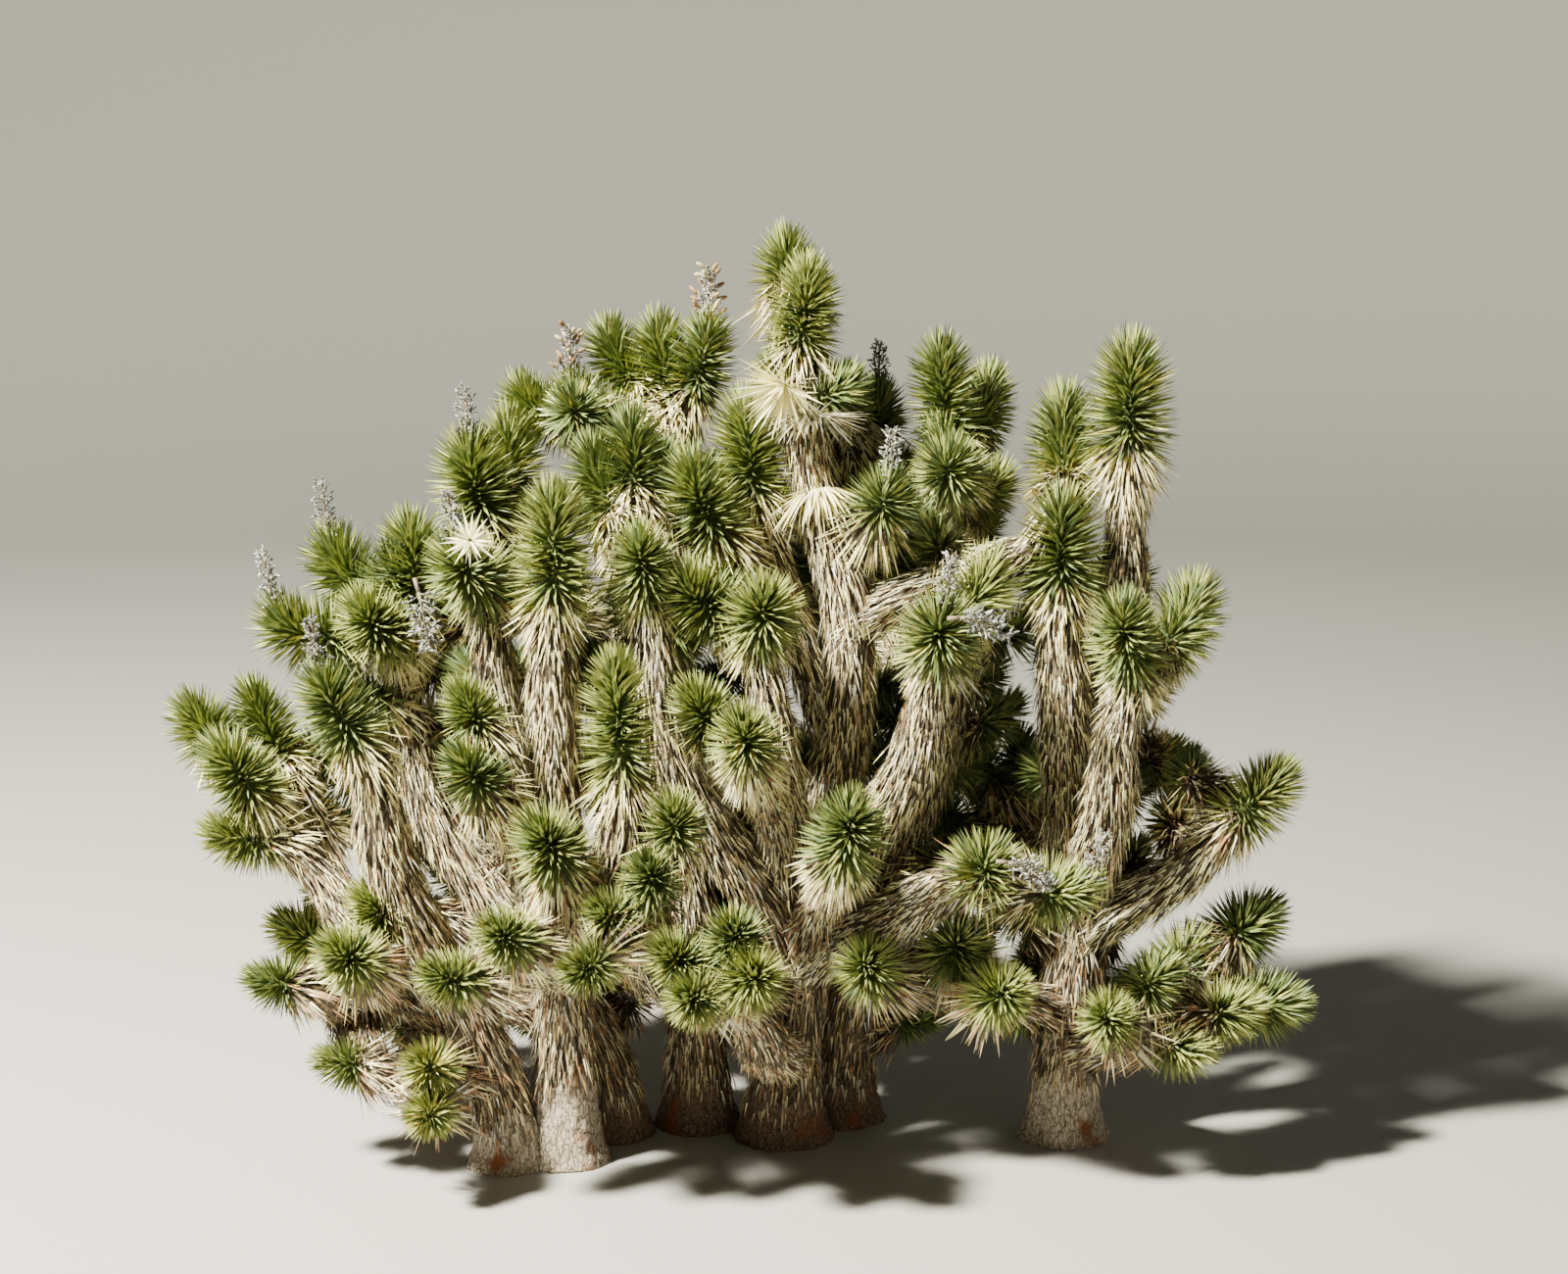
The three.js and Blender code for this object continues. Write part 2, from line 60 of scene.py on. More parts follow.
@dataclass
class Mass:
    """Heads that fork off one stem. They stand in a row through centre that reaches across to both sides.
    Every second one is shifted by lift.
    """

    name: str
    on: str
    heads: int
    centre: tuple
    across: tuple = (0, 0, 0)
    lift: tuple = (0, 0, 0)
    # Where the stem leaves its limb, as a share of the limb's length.
    at: float = 1
    # The heads' green stretches in turn, as multiples of GREEN, and their size beside a common head's.
    green: float | tuple = 1
    size: float = 1
    # How many of them bear a dried flower stalk.
    stalks: int = 0
    # The leaves' length and reach down the arm, the skirt's length, and the most yellow leaves in a head.
    leaf: float = 0.86
    tall: float = 1
    skirt: float = 1
    yellow: float = 0.03


# Trunks: the foot on the ground, the tip, and the radius at each, which counts the thatch.
TRUNKS = {
    "trunk_main": ((0, 0, 0), (0.285, 0, 2.35), (0.165, 0.125)),
    "trunk_left": ((-0.945, -0.3, 0), (-0.965, -0.43, 2.33), (0.14, 0.112)),
    "trunk_left_leaning": ((-1.19, -0.35, 0), (-1.68, -0.64, 1.76), (0.135, 0.118)),
    "trunk_right": ((1.24, 0, 0), (1.47, 0.03, 2.72), (0.15, 0.112)),
    "trunk_back": ((-0.385, 0.16, 0), (-0.56, 0.54, 2.78), (0.145, 0.115)),
    "trunk_back_left": ((-0.76, 0.04, 0), (-1.66, 0.22, 1.9), (0.135, 0.115)),
    "trunk_back_right": ((0.26, 0.24, 0), (0.79, 0.35, 2.6), (0.145, 0.115)),
}
# Boughs: the limb that carries it and where, the tip, the radii, and how far the tip turns upright.
BOUGHS = {
    "bough_top": ("trunk_main", 1, (0.09, 0.1, 3.22), (0.122, 0.105), 1),
    "bough_far_left": ("trunk_left_leaning", 0.45, (-1.96, -0.35, 1.27), (0.112, 0.105), 0.4),
    "bough_left_crown": ("trunk_left", 0.34, (-1.25, -0.12, 2.24), (0.118, 0.11), 0.9),
    "bough_left_front": ("trunk_left", 0.34, (-0.655, -0.745, 1.74), (0.124, 0.114), 1),
    "bough_centre_left": ("trunk_main", 0.3, (-0.545, -0.34, 2.26), (0.118, 0.112), 1),
    "bough_centre": ("trunk_main", 0.4, (-0.07, -0.4, 2.11), (0.122, 0.118), 1),
    "bough_front_left": ("trunk_main", 0.27, (-0.61, -0.72, 1.03), (0.112, 0.105), 0.4),
    "bough_front_low": ("trunk_main", 0.13, (-0.12, -0.76, 0.76), (0.118, 0.108), 0.3),
    "bough_front_right": ("trunk_main", 0.32, (0.72, -0.62, 1.34), (0.11, 0.108), 0.1),
    "bough_centre_right": ("trunk_main", 0.44, (0.59, -0.4, 2.06), (0.12, 0.114), 1),
    "bough_cross": ("trunk_main", 0.97, (1.095, -0.075, 2.67), (0.1, 0.092), 0.1),
    "bough_right_low": ("trunk_right", 0.14, (1.56, -0.4, 0.59), (0.11, 0.098), 0.1),
    "bough_right_arm": ("trunk_right", 0.33, (1.85, -0.2, 1.4), (0.115, 0.105), 0.4),
    "bough_right_column": ("trunk_right", 0.3, (1.19, -0.08, 2.39), (0.12, 0.114), 1),
    "bough_right_front": ("trunk_right", 0.36, (1.39, -0.4, 1.92), (0.118, 0.11), 1),
}
MASSES = [
    Mass("heads_top", "bough_top", 2, (0.055, 0.35, 3.72),
         (0.045, -0.15, -0.12), green=(1, 2.6), skirt=1.45),
    Mass("heads_far_left", "bough_far_left", 3, (-2.43, -0.25, 1.67),
         (-0.09, 0.15, 0.23), (0.11, -0.15, 0.1), leaf=0.82, tall=1.25),
    Mass("heads_far_left_high", "bough_far_left", 1, (-2.25, 0, 1.87), at=0.75, green=1.7, leaf=0.8),
    Mass("heads_left_low", "trunk_left_leaning", 4, (-2.17, -0.4, 0.88),
         (-0.07, -0.19, -0.11), (0.45, -0.31, 0.32), at=0.33, size=0.85, leaf=1.05),
    Mass("heads_left_foot", "trunk_left_leaning", 3, (-1.46, -0.93, 0.52),
         (0, 0.03, 0.1), (-0.44, 0.4, -0.01), at=0.2, size=0.78, leaf=1, yellow=0.55),
    Mass("heads_left_leaning", "trunk_left_leaning", 1, (-1.85, -0.7, 2.08), green=1.7, stalks=1),
    Mass("heads_upper_left", "trunk_back_left", 4, (-1.87, -0.08, 2.31),
         (0.27, -0.11, 0.06), (0, 0.31, 0.23), green=1.2, stalks=2, tall=1.5),
    Mass("heads_left_crown", "bough_left_crown", 3, (-1.28, 0.05, 2.8),
         (0.07, 0.35, 0.23), (-0.06, -0.05, 0.17), green=1.3, stalks=2, leaf=0.94, tall=1.3),
    Mass("heads_left_inner", "trunk_left", 2, (-1.3, -0.65, 1.95), (-0.01, 0.09, 0.12), at=0.36, size=0.8),
    Mass("heads_left_front_low", "trunk_left", 3, (-1.16, -0.98, 1.3),
         (0.21, 0.03, 0.28), (0.04, -0.17, -0.06), at=0.24),
    Mass("heads_left", "trunk_left", 1, (-0.95, -0.45, 2.72), green=2.1, leaf=0.82),
    Mass("heads_left_front", "bough_left_front", 1, (-0.68, -0.75, 2.05), green=2.5, leaf=0.81, skirt=1.2),
    Mass("heads_front_left", "bough_front_left", 4, (-0.6, -1, 1.35),
         (0.21, 0.11, 0.28), (-0.05, 0.02, 0.03), size=0.82, leaf=0.9),
    Mass("heads_centre_left", "bough_centre_left", 3, (-0.73, 0, 3.02),
         (0.08, 0, 0.06), (0.14, -0.45, -0.38), green=1.3, leaf=0.79, tall=1.3),
    Mass("heads_back_crown_left", "trunk_back", 5, (-0.56, 0.57, 3.44),
         (-0.22, 0.1, -0.02), (-0.49, -0.02, -0.26), green=1.2, stalks=2, leaf=0.79, tall=1.3),
    Mass("heads_crown_middle", "trunk_main", 2, (-0.27, -0.02, 3),
         (-0.11, -0.12, -0.1), at=0.72, green=1.4, leaf=0.79, tall=1.3),
    Mass("heads_centre", "bough_centre", 3, (-0.18, -0.3, 2.49),
         (0.1, -0.2, -0.05), (-0.22, -0.05, -0.01), stalks=1, tall=1.2),
    Mass("heads_front_middle", "bough_centre", 2, (-0.26, -0.65, 2.01),
         (0.1, -0.15, -0.03), at=0.3, leaf=0.83),
    Mass("heads_front_low", "bough_front_low", 4, (-0.17, -1.07, 1.18),
         (-0.06, 0.09, 0.11), (-0.22, -0.04, -0.17), size=0.9, leaf=1),
    Mass("heads_front_high", "trunk_main", 1, (0.26, -0.9, 1.6), at=0.33, green=1.6),
    Mass("heads_crown_right", "trunk_main", 3, (0.34, 0.6, 3.22),
         (-0.08, -0.1, 0.04), (0.09, -0.76, -0.34), size=0.9, stalks=2, leaf=0.92, skirt=1.25),
    Mass("heads_back_crown_right", "trunk_back_right", 4, (0.86, 0.16, 2.89),
         (0.17, 0.19, -0.08), (-0.12, 0.22, 0.41), green=(1, 1.6), leaf=0.79, tall=1.25),
    Mass("heads_cross", "bough_cross", 1, (1.215, 0.33, 3.06), green=2.2, leaf=0.82),
    Mass("heads_right_column", "bough_right_column", 1, (1.175, -0.11, 2.68), green=1.8, leaf=0.94),
    Mass("heads_right_tall", "trunk_right", 1, (1.47, 0, 3.29), green=1.9, leaf=0.92, skirt=1.15),
    Mass("heads_centre_right", "bough_centre_right", 2, (0.74, -0.31, 2.42),
         (0.11, 0.19, 0.07), stalks=1, leaf=0.96, tall=1.15),
    Mass("heads_right_front", "bough_right_front", 2, (1.56, -0.25, 2.33),
         (0.18, 0.24, 0), green=1.5, tall=1.15),
    Mass("heads_right_arm", "bough_right_arm", 1, (2.06, -0.2, 1.59), green=1.6, leaf=0.92),
    Mass("heads_right_low", "bough_right_low", 4, (1.5, -0.65, 0.89),
         (0.17, 0.11, 0.11), (0.25, 0.07, -0.28), size=0.82, leaf=1.15),
    Mass("heads_right_foot", "bough_right_low", 3, (1.92, -0.24, 0.78),
         (-0.19, 0.05, 0.11), (0.12, 0.15, 0.23), at=0.8, size=0.95, leaf=1.28),
    Mass("heads_front_right", "bough_front_right", 2, (1, -0.66, 1.33),
         (-0.19, -0.04, 0.07), stalks=1, leaf=1.08),
    Mass("heads_right_shade", "trunk_right", 3, (0.62, -0.68, 0.92),
         (0.28, -0.11, -0.03), (0.09, 0.13, 0.11), at=0.2, leaf=1.05),
    Mass("heads_right_back", "trunk_right", 3, (1.62, 0.52, 2),
         (-0.13, -0.18, 0.48), (0.02, 0.15, -0.05), at=0.55),
    Mass("heads_back_low_left", "trunk_back_left", 4, (-1.5, 0.9, 1.2),
         (-0.33, -0.2, 0.15), (0.06, 0.12, 0.2), at=0.35),
    Mass("heads_back_low", "trunk_back", 4, (-0.25, 1.27, 1.1),
         (0.38, 0.04, 0.1), (-0.06, 0.09, 0.22), at=0.25),
    Mass("heads_back_low_right", "trunk_back_right", 4, (1.15, 1.05, 1.15),
         (0.35, -0.23, 0.13), (0.06, 0.13, 0.2), at=0.25),
    Mass("heads_back_left", "trunk_back", 4, (-0.9, 1.08, 2.2),
         (-0.32, -0.13, 0.1), (0.06, 0.13, 0.23), at=0.55),
    Mass("heads_back_right", "trunk_back_right", 4, (0.45, 1.08, 2.3),
         (0.34, -0.06, 0.1), (-0.06, 0.1, 0.26), at=0.55),
]
# A lesser shoot's head, which belongs to no mass of the model.
LESSER = Mass(None, None, 1, None)

# How limbs and shoots bend, fork and face, as in the model.
HOLD = 0.4
SET_IN = 0.03
TURN_FROM_TIP = 0.45
TURN_FROM_SIDE = 0.8
FORK_SHARE = 0.42
FORK_TURN = 0.75
GREEN = 0.17
HEAD_SCALE = (0.9, 1.08)
HEAD_STRETCH = (0.9, 1.1)
HEAD_TURN = 0.25
GROUND_TILT = 8
TILT_PER_METRE = 24
COLUMN_TILT = 20
UPRIGHT = 88
FLARE = 0.55
FLARE_HEIGHT = 0.15
SHOOT_RADIUS = 0.088
UP = np.array([0.0, 0.0, 1.0])
# Directions that no limb and no spindle runs along, from which the angles round each are counted.
ASIDE = [0.31, 0.17, -0.93]
SPINDLE_ASIDE = [0.31, 0.57, 0.76]
# At how many spots a curve is measured, and at how many its own way to the side is kept.
LINE_SPOTS = 201
SIDE_SPOTS = 61
# Seeds of the chance draws. A piece's own number is added to all but that of the lesser shoots.
HEADS_SEED = 101
LESSER_SEED = 5
LIMB_SEED = 300
GREEN_SEED = 7000
DEAD_SEED = 20000
STALK_SEED = 40000
POD_SEED = 45000
ROSETTE_SEED = 77

# Bark shows on the lowest stretch of each trunk, and higher up the thatch stands on a thinner core.
BARK_HEIGHT = {"trunk_left": 0.34, "trunk_right": 0.26}
BARK_ELSEWHERE = 0.16
BARK_FADE = 0.14
# Trunks whose feet have grey bark. The others, inside the clump, have a brown bark that is reddish and
# darker with painted shade.
GREY_FEET = ("trunk_left", "trunk_right", "trunk_left_leaning")
BARK_SHARE = 0.9
CORE_SHARE = 0.82
SHOOT_CORE_SHARE = 0.74
# A limb's core slims to that of its shoots over its last stretch.
TIP_SLIMS = 0.16
TIP_SHARE = 0.7
# The core in a head of green leaves, at its crown, and the least share of a shoot below its head.
CROWN_RADIUS = 0.016
LEAST_BARE = 0.1
# The columns' surfaces: stations up the bark and in a head, metres between the others, and corners round.
BARK_STATIONS = 62
HEAD_STATIONS = 7
TRUNK_STEP = 0.04
BOUGH_STEP = 0.035
SHOOT_STEP = 0.05
BARK_CORNERS = 72
CORE_CORNERS = 36
SHOOT_CORNERS = 14
# Their ripples: how far they go, on a shoot as a share of its radius, how often round and how fast along.
# Then how ragged a limb's core is by chance.
CORE_RIPPLES = (0.006, 5, 21)
SHOOT_RIPPLES = (0.05, 4, 40)
BARK_EDGE_RIPPLES = (0.45, 3, 1)
CORE_RAGGED = 0.0035

# Green leaves: how many to a metre of green stretch and on the dome above, and where the dome lies.
LEAVES_PER_METRE = 960
DOME_LEAVES = 115
DOME_FOOT = 0.10
DOME_TOP = 0.025
# How green leaves are set: the spread of their winding, how far out in the core they root, where along it a
# leaf has to be clear of other columns, and how low its tip may be.
GREEN_WINDING = 0.08
GREEN_ROOT = 0.6
GREEN_CLEAR = 0.55
GREEN_LOWEST = 0.02
# One leaf: the mean and spread of its curve, the spread of its turn and roll, how much its curve shortens
# it, and its range of sizes.
LEAF_LENGTH = 0.21
LEAF_WIDTH = 0.0145
LEAF_FOLD = 0.5
LEAF_CURVE = (0.04, 0.025)
LEAF_TURN = 0.05
LEAF_ROLL = 0.5
CURVE_SHORTENS = 0.3
LEAF_LONG = (0.92, 1.04)
LEAF_WIDE = (0.85, 1.12)
YOUNGEST_LEAF = 0.84
# How far the green leaves start below the model's.
GREEN_BELOW = 0.035
# Heads near the ground are smaller: their share of the full size, and the heights between which they grow.
LOW_HEADS = 0.74
LOW_HEIGHTS = (0.9, 2.2)
# A leaf's angle to its shoot in degrees, from the foot of the green stretch to the dome, in the middle of
# the dome, and by chance.
LEAF_HEIGHTS = [0, 0.18, 0.5, 1]
LEAF_ANGLES = [128, 104, 82, 58]
HIGHEST_LEAF = 5
ANGLE_SPREAD = 4.5
# A long head grows in flushes, which show as bulges: their length, how they sway the leaves' angle and
# size, and the mean size.
FLUSH = 0.27
FLUSH_ANGLE = 11
FLUSH_SIZE = 0.06
FLUSH_MEAN = 0.95
GOLDEN_ANGLE = math.radians(137.508)

# Dead leaves: how many to a square metre of column, and the skirt of the youngest ones under a head.
THATCH_PER_AREA = 2600
SKIRT_PER_AREA = 3300
SKIRT_DEPTH = 0.28
# The share of its depth from which a skirt thins out, how its leaves age, how far dead leaves reach up into
# the green ones, and at how many spots their number is worked out.
SKIRT_FULL = 0.6
SKIRT_AGES = 1.2
DEAD_IN_HEAD = 0.1
DEAD_SPOTS = 24
# How they are set, as the green ones are. A leaf's back stands clear too, and its foot keeps off the bark.
DEAD_WINDING = 0.15
DEAD_ROOT = 0.95
DEAD_CLEAR = 0.6
BACK_CLEAR = 0.012
DEAD_LOWEST = 0.03
BARK_EDGE = 0.6
DEAD_LENGTH = 0.125
SKIRT_LENGTH = 0.195
DEAD_WIDTH = 0.0085
SKIRT_WIDTH = 0.0118
DEAD_LONG = (0.7, 1.1)
DEAD_WIDE = (0.7, 1.15)
DEAD_CURVE = (-0.02, 0.06)
DEAD_TURN = 0.13
DEAD_ROLL = 0.35
# The angle of an old leaf to its column, of a skirt's leaf and by chance, and how leaves sag and stand off.
THATCH_ANGLE = 168
SKIRT_ANGLE = 126
DEAD_SPREAD = 7
SAG = 0.3
STAND_OFF = 0.10
THATCH_DEPTH = 0.022

# Where a leaf has its own stations along it, and how wide it is there.
LEAF_STATIONS = [(0, 0.8), (0.45, 1.0)]
DEAD_STATIONS = [(0, 0.7), (0.42, 0.95)]

# How the tones of green leaves add up: tip green, olive, green, blue green, and deep green for the rest.
LIVE_SHARES = (0.18, 0.52, 0.80, 0.94)
# How much one head differs from the next in its tones, and how much deeper green the lesser heads are
# painted, as shade inside the crown.
HEAD_TINTS = 0.14
LESSER_PAINTED_SHADE = 0.42
# The share of old leaves at the foot of a head, how far up it they reach, and how many are yellow or pale.
OLD_SHARE = 0.65
OLD_HEIGHT = 0.13
OLD_ODDS = [0.6, 0.4]
# How the tones of dead leaves add up: cream, straw, tan, white, grey, dark and rust. Skirts are young,
# limbs and the arms of the masses old, lesser shoots darker with painted shade, and columns near the ground
# reddish and darker, partly with painted shade.
YOUNG_SHARES = [0.40, 0.70, 0.83, 0.92, 0.96, 0.99, 1.0]
OLD_SHARES = [0.15, 0.38, 0.60, 0.73, 0.88, 0.985, 1.0]
GREY_SHARES = [0.26, 0.36, 0.42, 0.76, 0.96, 1.0, 1.0]
GROUND_SHADED_SHARES = [0.02, 0.08, 0.32, 0.34, 0.45, 0.79, 1.0]
LESSER_SHADED_SHARES = [0.02, 0.11, 0.34, 0.37, 0.54, 0.96, 1.0]
# Limbs whose thatch has bleached grey, and the heights between which the tones near the ground give way.
BLEACHED = ("bough_cross", "bough_front_right", "bough_right_arm", "bough_left_crown", "bough_far_left")
GROUND_HEIGHTS = (0.5, 1.9)
BLEACHED_HEIGHTS = (0.2, 0.9)

# Dried flower stalks, as on the model: short branches with husks, and seed pods on those of the named mass.
STALK_HEIGHT = 0.25
STALK_SUNK = 0.06
STALK_RADIUS = 0.009
STALK_TAPER = (1.1, 0.5)
STALK_STRETCHES = 5
STALK_STATIONS = [(0.02, 1), (0.98, 0.9)]
STALK_TONE = 3
STALK_BRANCHES = 28
BRANCH_SPAN = (0.22, 0.97)
BRANCH_ANGLE = (58, 12)
BRANCH_WINDING = 0.2
BRANCH_LONG = 0.07
BRANCH_SHORT = 0.022
BRANCH_SIZES = (0.8, 1.2)
BRANCH_WIDTH = 0.006
BRANCH_STATIONS = [(0.1, 1), (0.9, 0.7)]
HUSKS = 6
HUSK_SPAN = (0.3, 1.0)
HUSK_SPREAD = 0.6
HUSK_RISE = 0.25
HUSK_LENGTH = 0.032
HUSK_LONG = (0.6, 1.15)
HUSK_WIDTH = 0.010
HUSK_WIDE = (0.6, 1.1)
HUSK_STATIONS = [(0.55, 1)]
PODS = 18
POD_RISE = 0.2
POD_SPREAD = 0.3
POD_LENGTH = 0.055
POD_LONG = (0.8, 1.1)
POD_WIDTH = 0.02
POD_STATIONS = [(0.18, 0.75), (0.5, 1.0), (0.82, 0.7)]
# The tones of stalk and husks, grey, white, dark and brown: on a pale stalk, and on a weathered one.
PALE_STALK = (0.42, 0.32, 0.18, 0.08)
WEATHERED_STALK = (0.42, 0.06, 0.42, 0.10)
POD_BEARING = ("heads_back_crown_left",)
# Old stalks that have toppled over their heads: where one starts and ends, and how coarse it is. Then how
# they sag, and the first of the numbers that they are drawn with.
TOPPLED_STALKS = [
    dict(stem="trunk_main", foot=(0.66, -0.74, 2.45), tip=(0.9, -0.72, 2.38), size=1.25),
    dict(stem="trunk_main", foot=(0.86, -0.86, 1.47), tip=(1.08, -0.86, 1.37), size=1.2),
    dict(stem="trunk_back_left", foot=(-1.55, -0.3, 2.55), tip=(-1.48, -0.38, 2.25), size=1.3),
]
TOPPLED_SAG = 0.1
FIRST_TOPPLED = 900
# Dead rosettes that stand out: a white star, and under the top head a cream burst over two skirts.
DEAD_ROSETTES = [
    dict(stem="trunk_left", place=(-1.29, -0.52, 2.74), facing=(0.05, -1, 0.15), ring=0.008, leaves=28,
         length=0.13, open=(108, 25), tones=(0, 3)),
    dict(stem="trunk_main", place=(0.0, -0.12, 3.34), facing=(-0.5, -0.5, -0.7), ring=0.015, leaves=105,
         length=0.24, open=(86, 10), tones=(0, 0, 0, 3)),
    dict(stem="trunk_main", place=(0.12, 0.01, 3.2), facing=(0, -0.25, -0.95), ring=0.07, leaves=150,
         length=0.2, open=(98, 42), tones=(3, 4, 5, 2, 4)),
    dict(stem="trunk_main", place=(0.155, 0.06, 2.87), facing=(0.12, -0.3, -0.94), ring=0.09, leaves=170,
         length=0.25, open=(66, 10), tones=(0, 0, 1, 4)),
]
ROSETTE_ASIDE = [0.1, 0.3, 1.0]
ROSETTE_LEAN = 0.3
ROSETTE_SPREAD = 0.09
ROSETTE_LONG = (0.75, 1.05)
ROSETTE_WIDTH = 0.0135
ROSETTE_WIDE = (0.8, 1.1)
ROSETTE_CURVE = 0.03

# Lesser heads in the shade between the columns, where the photograph shows dark gaps.
SHADED_HEADS = [
    (1.03, 0.5, 1.86), (-1.68, 0.1, 2.6), (-0.92, 0.12, 2.5), (1.59, 0.4, 1.56), (1.62, 0.4, 1.24),
    (1.78, 0.3, 1.46), (-0.86, 0.3, 1.48), (0.88, 0.6, 1.64), (0.73, 0.75, 1.4), (0.94, 0.6, 2.03),
    (-1.5, 0.45, 2.15), (0.14, 0.5, 2.89), (0.4, 0.45, 1.67), (0.71, 0.3, 0.46), (-1.55, 0.4, 1.1),
    (-1.5, 0.5, 0.95), (1.08, 0.65, 1.68), (-0.75, 0.6, 0.52), (1.1, 0.4, 2.27),
]
# More lesser heads fill the crown where it is open: how many, and how many places are tried for each. A
# place lies in an egg round the crown's middle and behind the front. No other head is nearer than the room,
# and at least two are within the reach. The lowest places rise towards the back.
LESSER_SHOOTS = 116
LESSER_TRIES = 70
CROWN_MIDDLE = (-0.2, 0.1, 0.9)
CROWN_HALF = (2.3, 1.4, 2.85)
CROWN_FILL = 0.93
LESSER_FRONT = 0.08
LESSER_ROOM = 0.22
LESSER_REACH = 0.62
LESSER_LOW = 0.42
BACK_FROM = 0.6
BACK_RISE = 0.35
# The stretch of a column's bare length that lesser shoots may leave from, and metres between their spots.
CARRY_SPAN = (0.06, 0.9)
CARRY_STEP = 0.08
# A lesser shoot's shortest and longest, and the least that it climbs, near the ground and from higher up.
LESSER_LENGTH = (0.24, 1.05)
LESSER_CLIMB = (0.05, 0.3)
CLIMB_HEIGHTS = (0.5, 1.0)
LESSER_SIZES = (0.76, 0.96)
LESSER_GREENS = (0.95, 1.35)
# How long its head counts when it is faced, how far it faces on from the foot, where it has to be clear of
# other columns and at how many spots, and where on a shoot its distance from others is taken.
LESSER_FACED = 1.2
LESSER_TURN = 0.3
CLEAR_FROM = 0.35
CLEAR_SPOTS = 12
NEAR_TIP = 0.95

# Coarse pictures of the plant from all round, from a little above, that show where the crown is still open.
VIEWS = 6
VIEW_TILT = 0.17
VIEW_CELL = 0.05
VIEW_SIZE = 130
VIEW_LEFT = 3.2
VIEW_BELOW = 0.9
VIEW_STATIONS = 14
VIEW_FROM = 0.1
VIEW_SPOKES = 8
VIEW_REACH = (0.09, 0.15)
# What a cell closed in the front picture counts beside one in the others.
FRONT_WEIGHT = 3

# A coarse grid of the space that the columns fill, so that no leaf grows inside one.
CELL = 0.02
FILL_STEP = 0.03
GRID_LOW = (-3.0, -1.8, -0.2)
GRID_CELLS = (280, 180, 230)
THICKEST = 0.25
# What a cell's owner says where no column fills it, and the number that belongs to no column.
EMPTY = -1
NO_COLUMN = -2

# Finishes of the leaves, as plain colours that are dealt out leaf by leaf.
LIVE = {
    "leaf_tip_green": (0.335, 0.365, 0.095),
    "leaf_olive": (0.28, 0.31, 0.09),
    "leaf_green": (0.205, 0.25, 0.075),
    "leaf_blue_green": (0.175, 0.235, 0.105),
    "leaf_deep_green": (0.09, 0.125, 0.038),
    "leaf_yellow": (0.50, 0.45, 0.11),
    "leaf_pale_base": (0.45, 0.415, 0.13),
    # Painted shade: a dark green for the lower part of leaves that lie inside a head.
    "leaf_inner": (0.125, 0.155, 0.036),
}
DEEP_GREEN, YELLOW, PALE_BASE, PAINTED_SHADE_GREEN = 4, 5, 6, 7
STALK = {
    "stalk_grey": (0.22, 0.225, 0.21),
    "stalk_white": (0.45, 0.46, 0.42),
    "stalk_dark": (0.10, 0.10, 0.09),
    "stalk_brown": (0.21, 0.17, 0.12),
}
POD = {
    "pod_tan": (0.44, 0.37, 0.20),
    "pod_orange": (0.28, 0.17, 0.07),
    "pod_brown": (0.16, 0.10, 0.05),
}
DEAD = {
    "dead_cream": (0.85, 0.79, 0.38),
    "dead_straw": (0.67, 0.59, 0.26),
    "dead_tan": (0.51, 0.43, 0.245),
    "dead_white": (0.82, 0.80, 0.56),
    "dead_grey": (0.51, 0.49, 0.40),
    "dead_dark": (0.115, 0.09, 0.058),
    "dead_rust": (0.34, 0.19, 0.09),
}
# Painted shade on a dead leaf's lower half, where it lies in the gaps between leaves: the tones tan, dark
# and rust, and how often each is dealt.
PAINTED_SHADE_TONES = [2, 5, 6]
PAINTED_SHADE_ODDS = [0.16, 0.76, 0.08]
# How rough a leaf is between its waxy patches and on them, and its gloss.
LIVE_SHEEN = (0.68, 0.48, 0.2)
DRY_SHEEN = (0.95, 0.8, 0.2)
POD_SHEEN = (0.7, 0.5, 0.3)
LEAF_RELIEF = (0.25, 0.001)

# Skins of the columns: the places of three tones on the fibres or plates, those tones, the colour that lies
# over them in patches, roughness and gloss, and the strength and depth of the relief.
MATTED = dict(places=(0.34, 0.5, 0.66), dull=0.95, gloss=0.15, relief=(0.9, 0.012))
BARKY = dict(places=(0.0, 0.3, 1.0), over=(0.20, 0.075, 0.03), dull=0.93, gloss=0.2, relief=(0.8, 0.006))
# The thatch's core and the heads' green bases are darkened nearly to black, as painted shade in the gaps
# between their leaves.
THATCH_MAT_SHADED = [(0.012, 0.008, 0.005), (0.045, 0.033, 0.02), (0.17, 0.135, 0.085)]
THATCH_PATCHES = (0.05, 0.037, 0.025)
LEAF_BASES_SHADED = [(0.02, 0.03, 0.008), (0.05, 0.07, 0.02), (0.12, 0.14, 0.045)]
BASE_PATCHES = (0.04, 0.06, 0.02)
GREY_BARK = [(0.06, 0.042, 0.028), (0.27, 0.22, 0.16), (0.58, 0.50, 0.38)]
# The brown bark is reddish, and darker as painted shade for the trunks inside the clump.
SHADED_BROWN_BARK = [(0.035, 0.022, 0.014), (0.11, 0.07, 0.045), (0.24, 0.165, 0.11)]
# The bark's own relief: how fine its plates, swells and grain are along each axis, and how far each rises.
PLATE_FINENESS = np.array([38, 38, 13])
SWELL_FINENESS = np.array([9, 9, 5])
GRAIN_FINENESS = np.array([80, 80, 30])
PLATE_RISE = 0.008
SWELL_RISE = 0.012
GRAIN_RISE = 0.004
# How steep a crack's sides are, and the share of a plate that lies below the bark's own radius.
CRACK_SLOPE = 2.4
CRACK_DEPTH = 0.7

# The photograph's view: the eye, its width and focal length in pixels, and how far its middle looks down.
EYE = (0, -12, 4.33)
PHOTO_WIDTH = 1600
FOCAL_PX = 2880
DROP_PX = 500
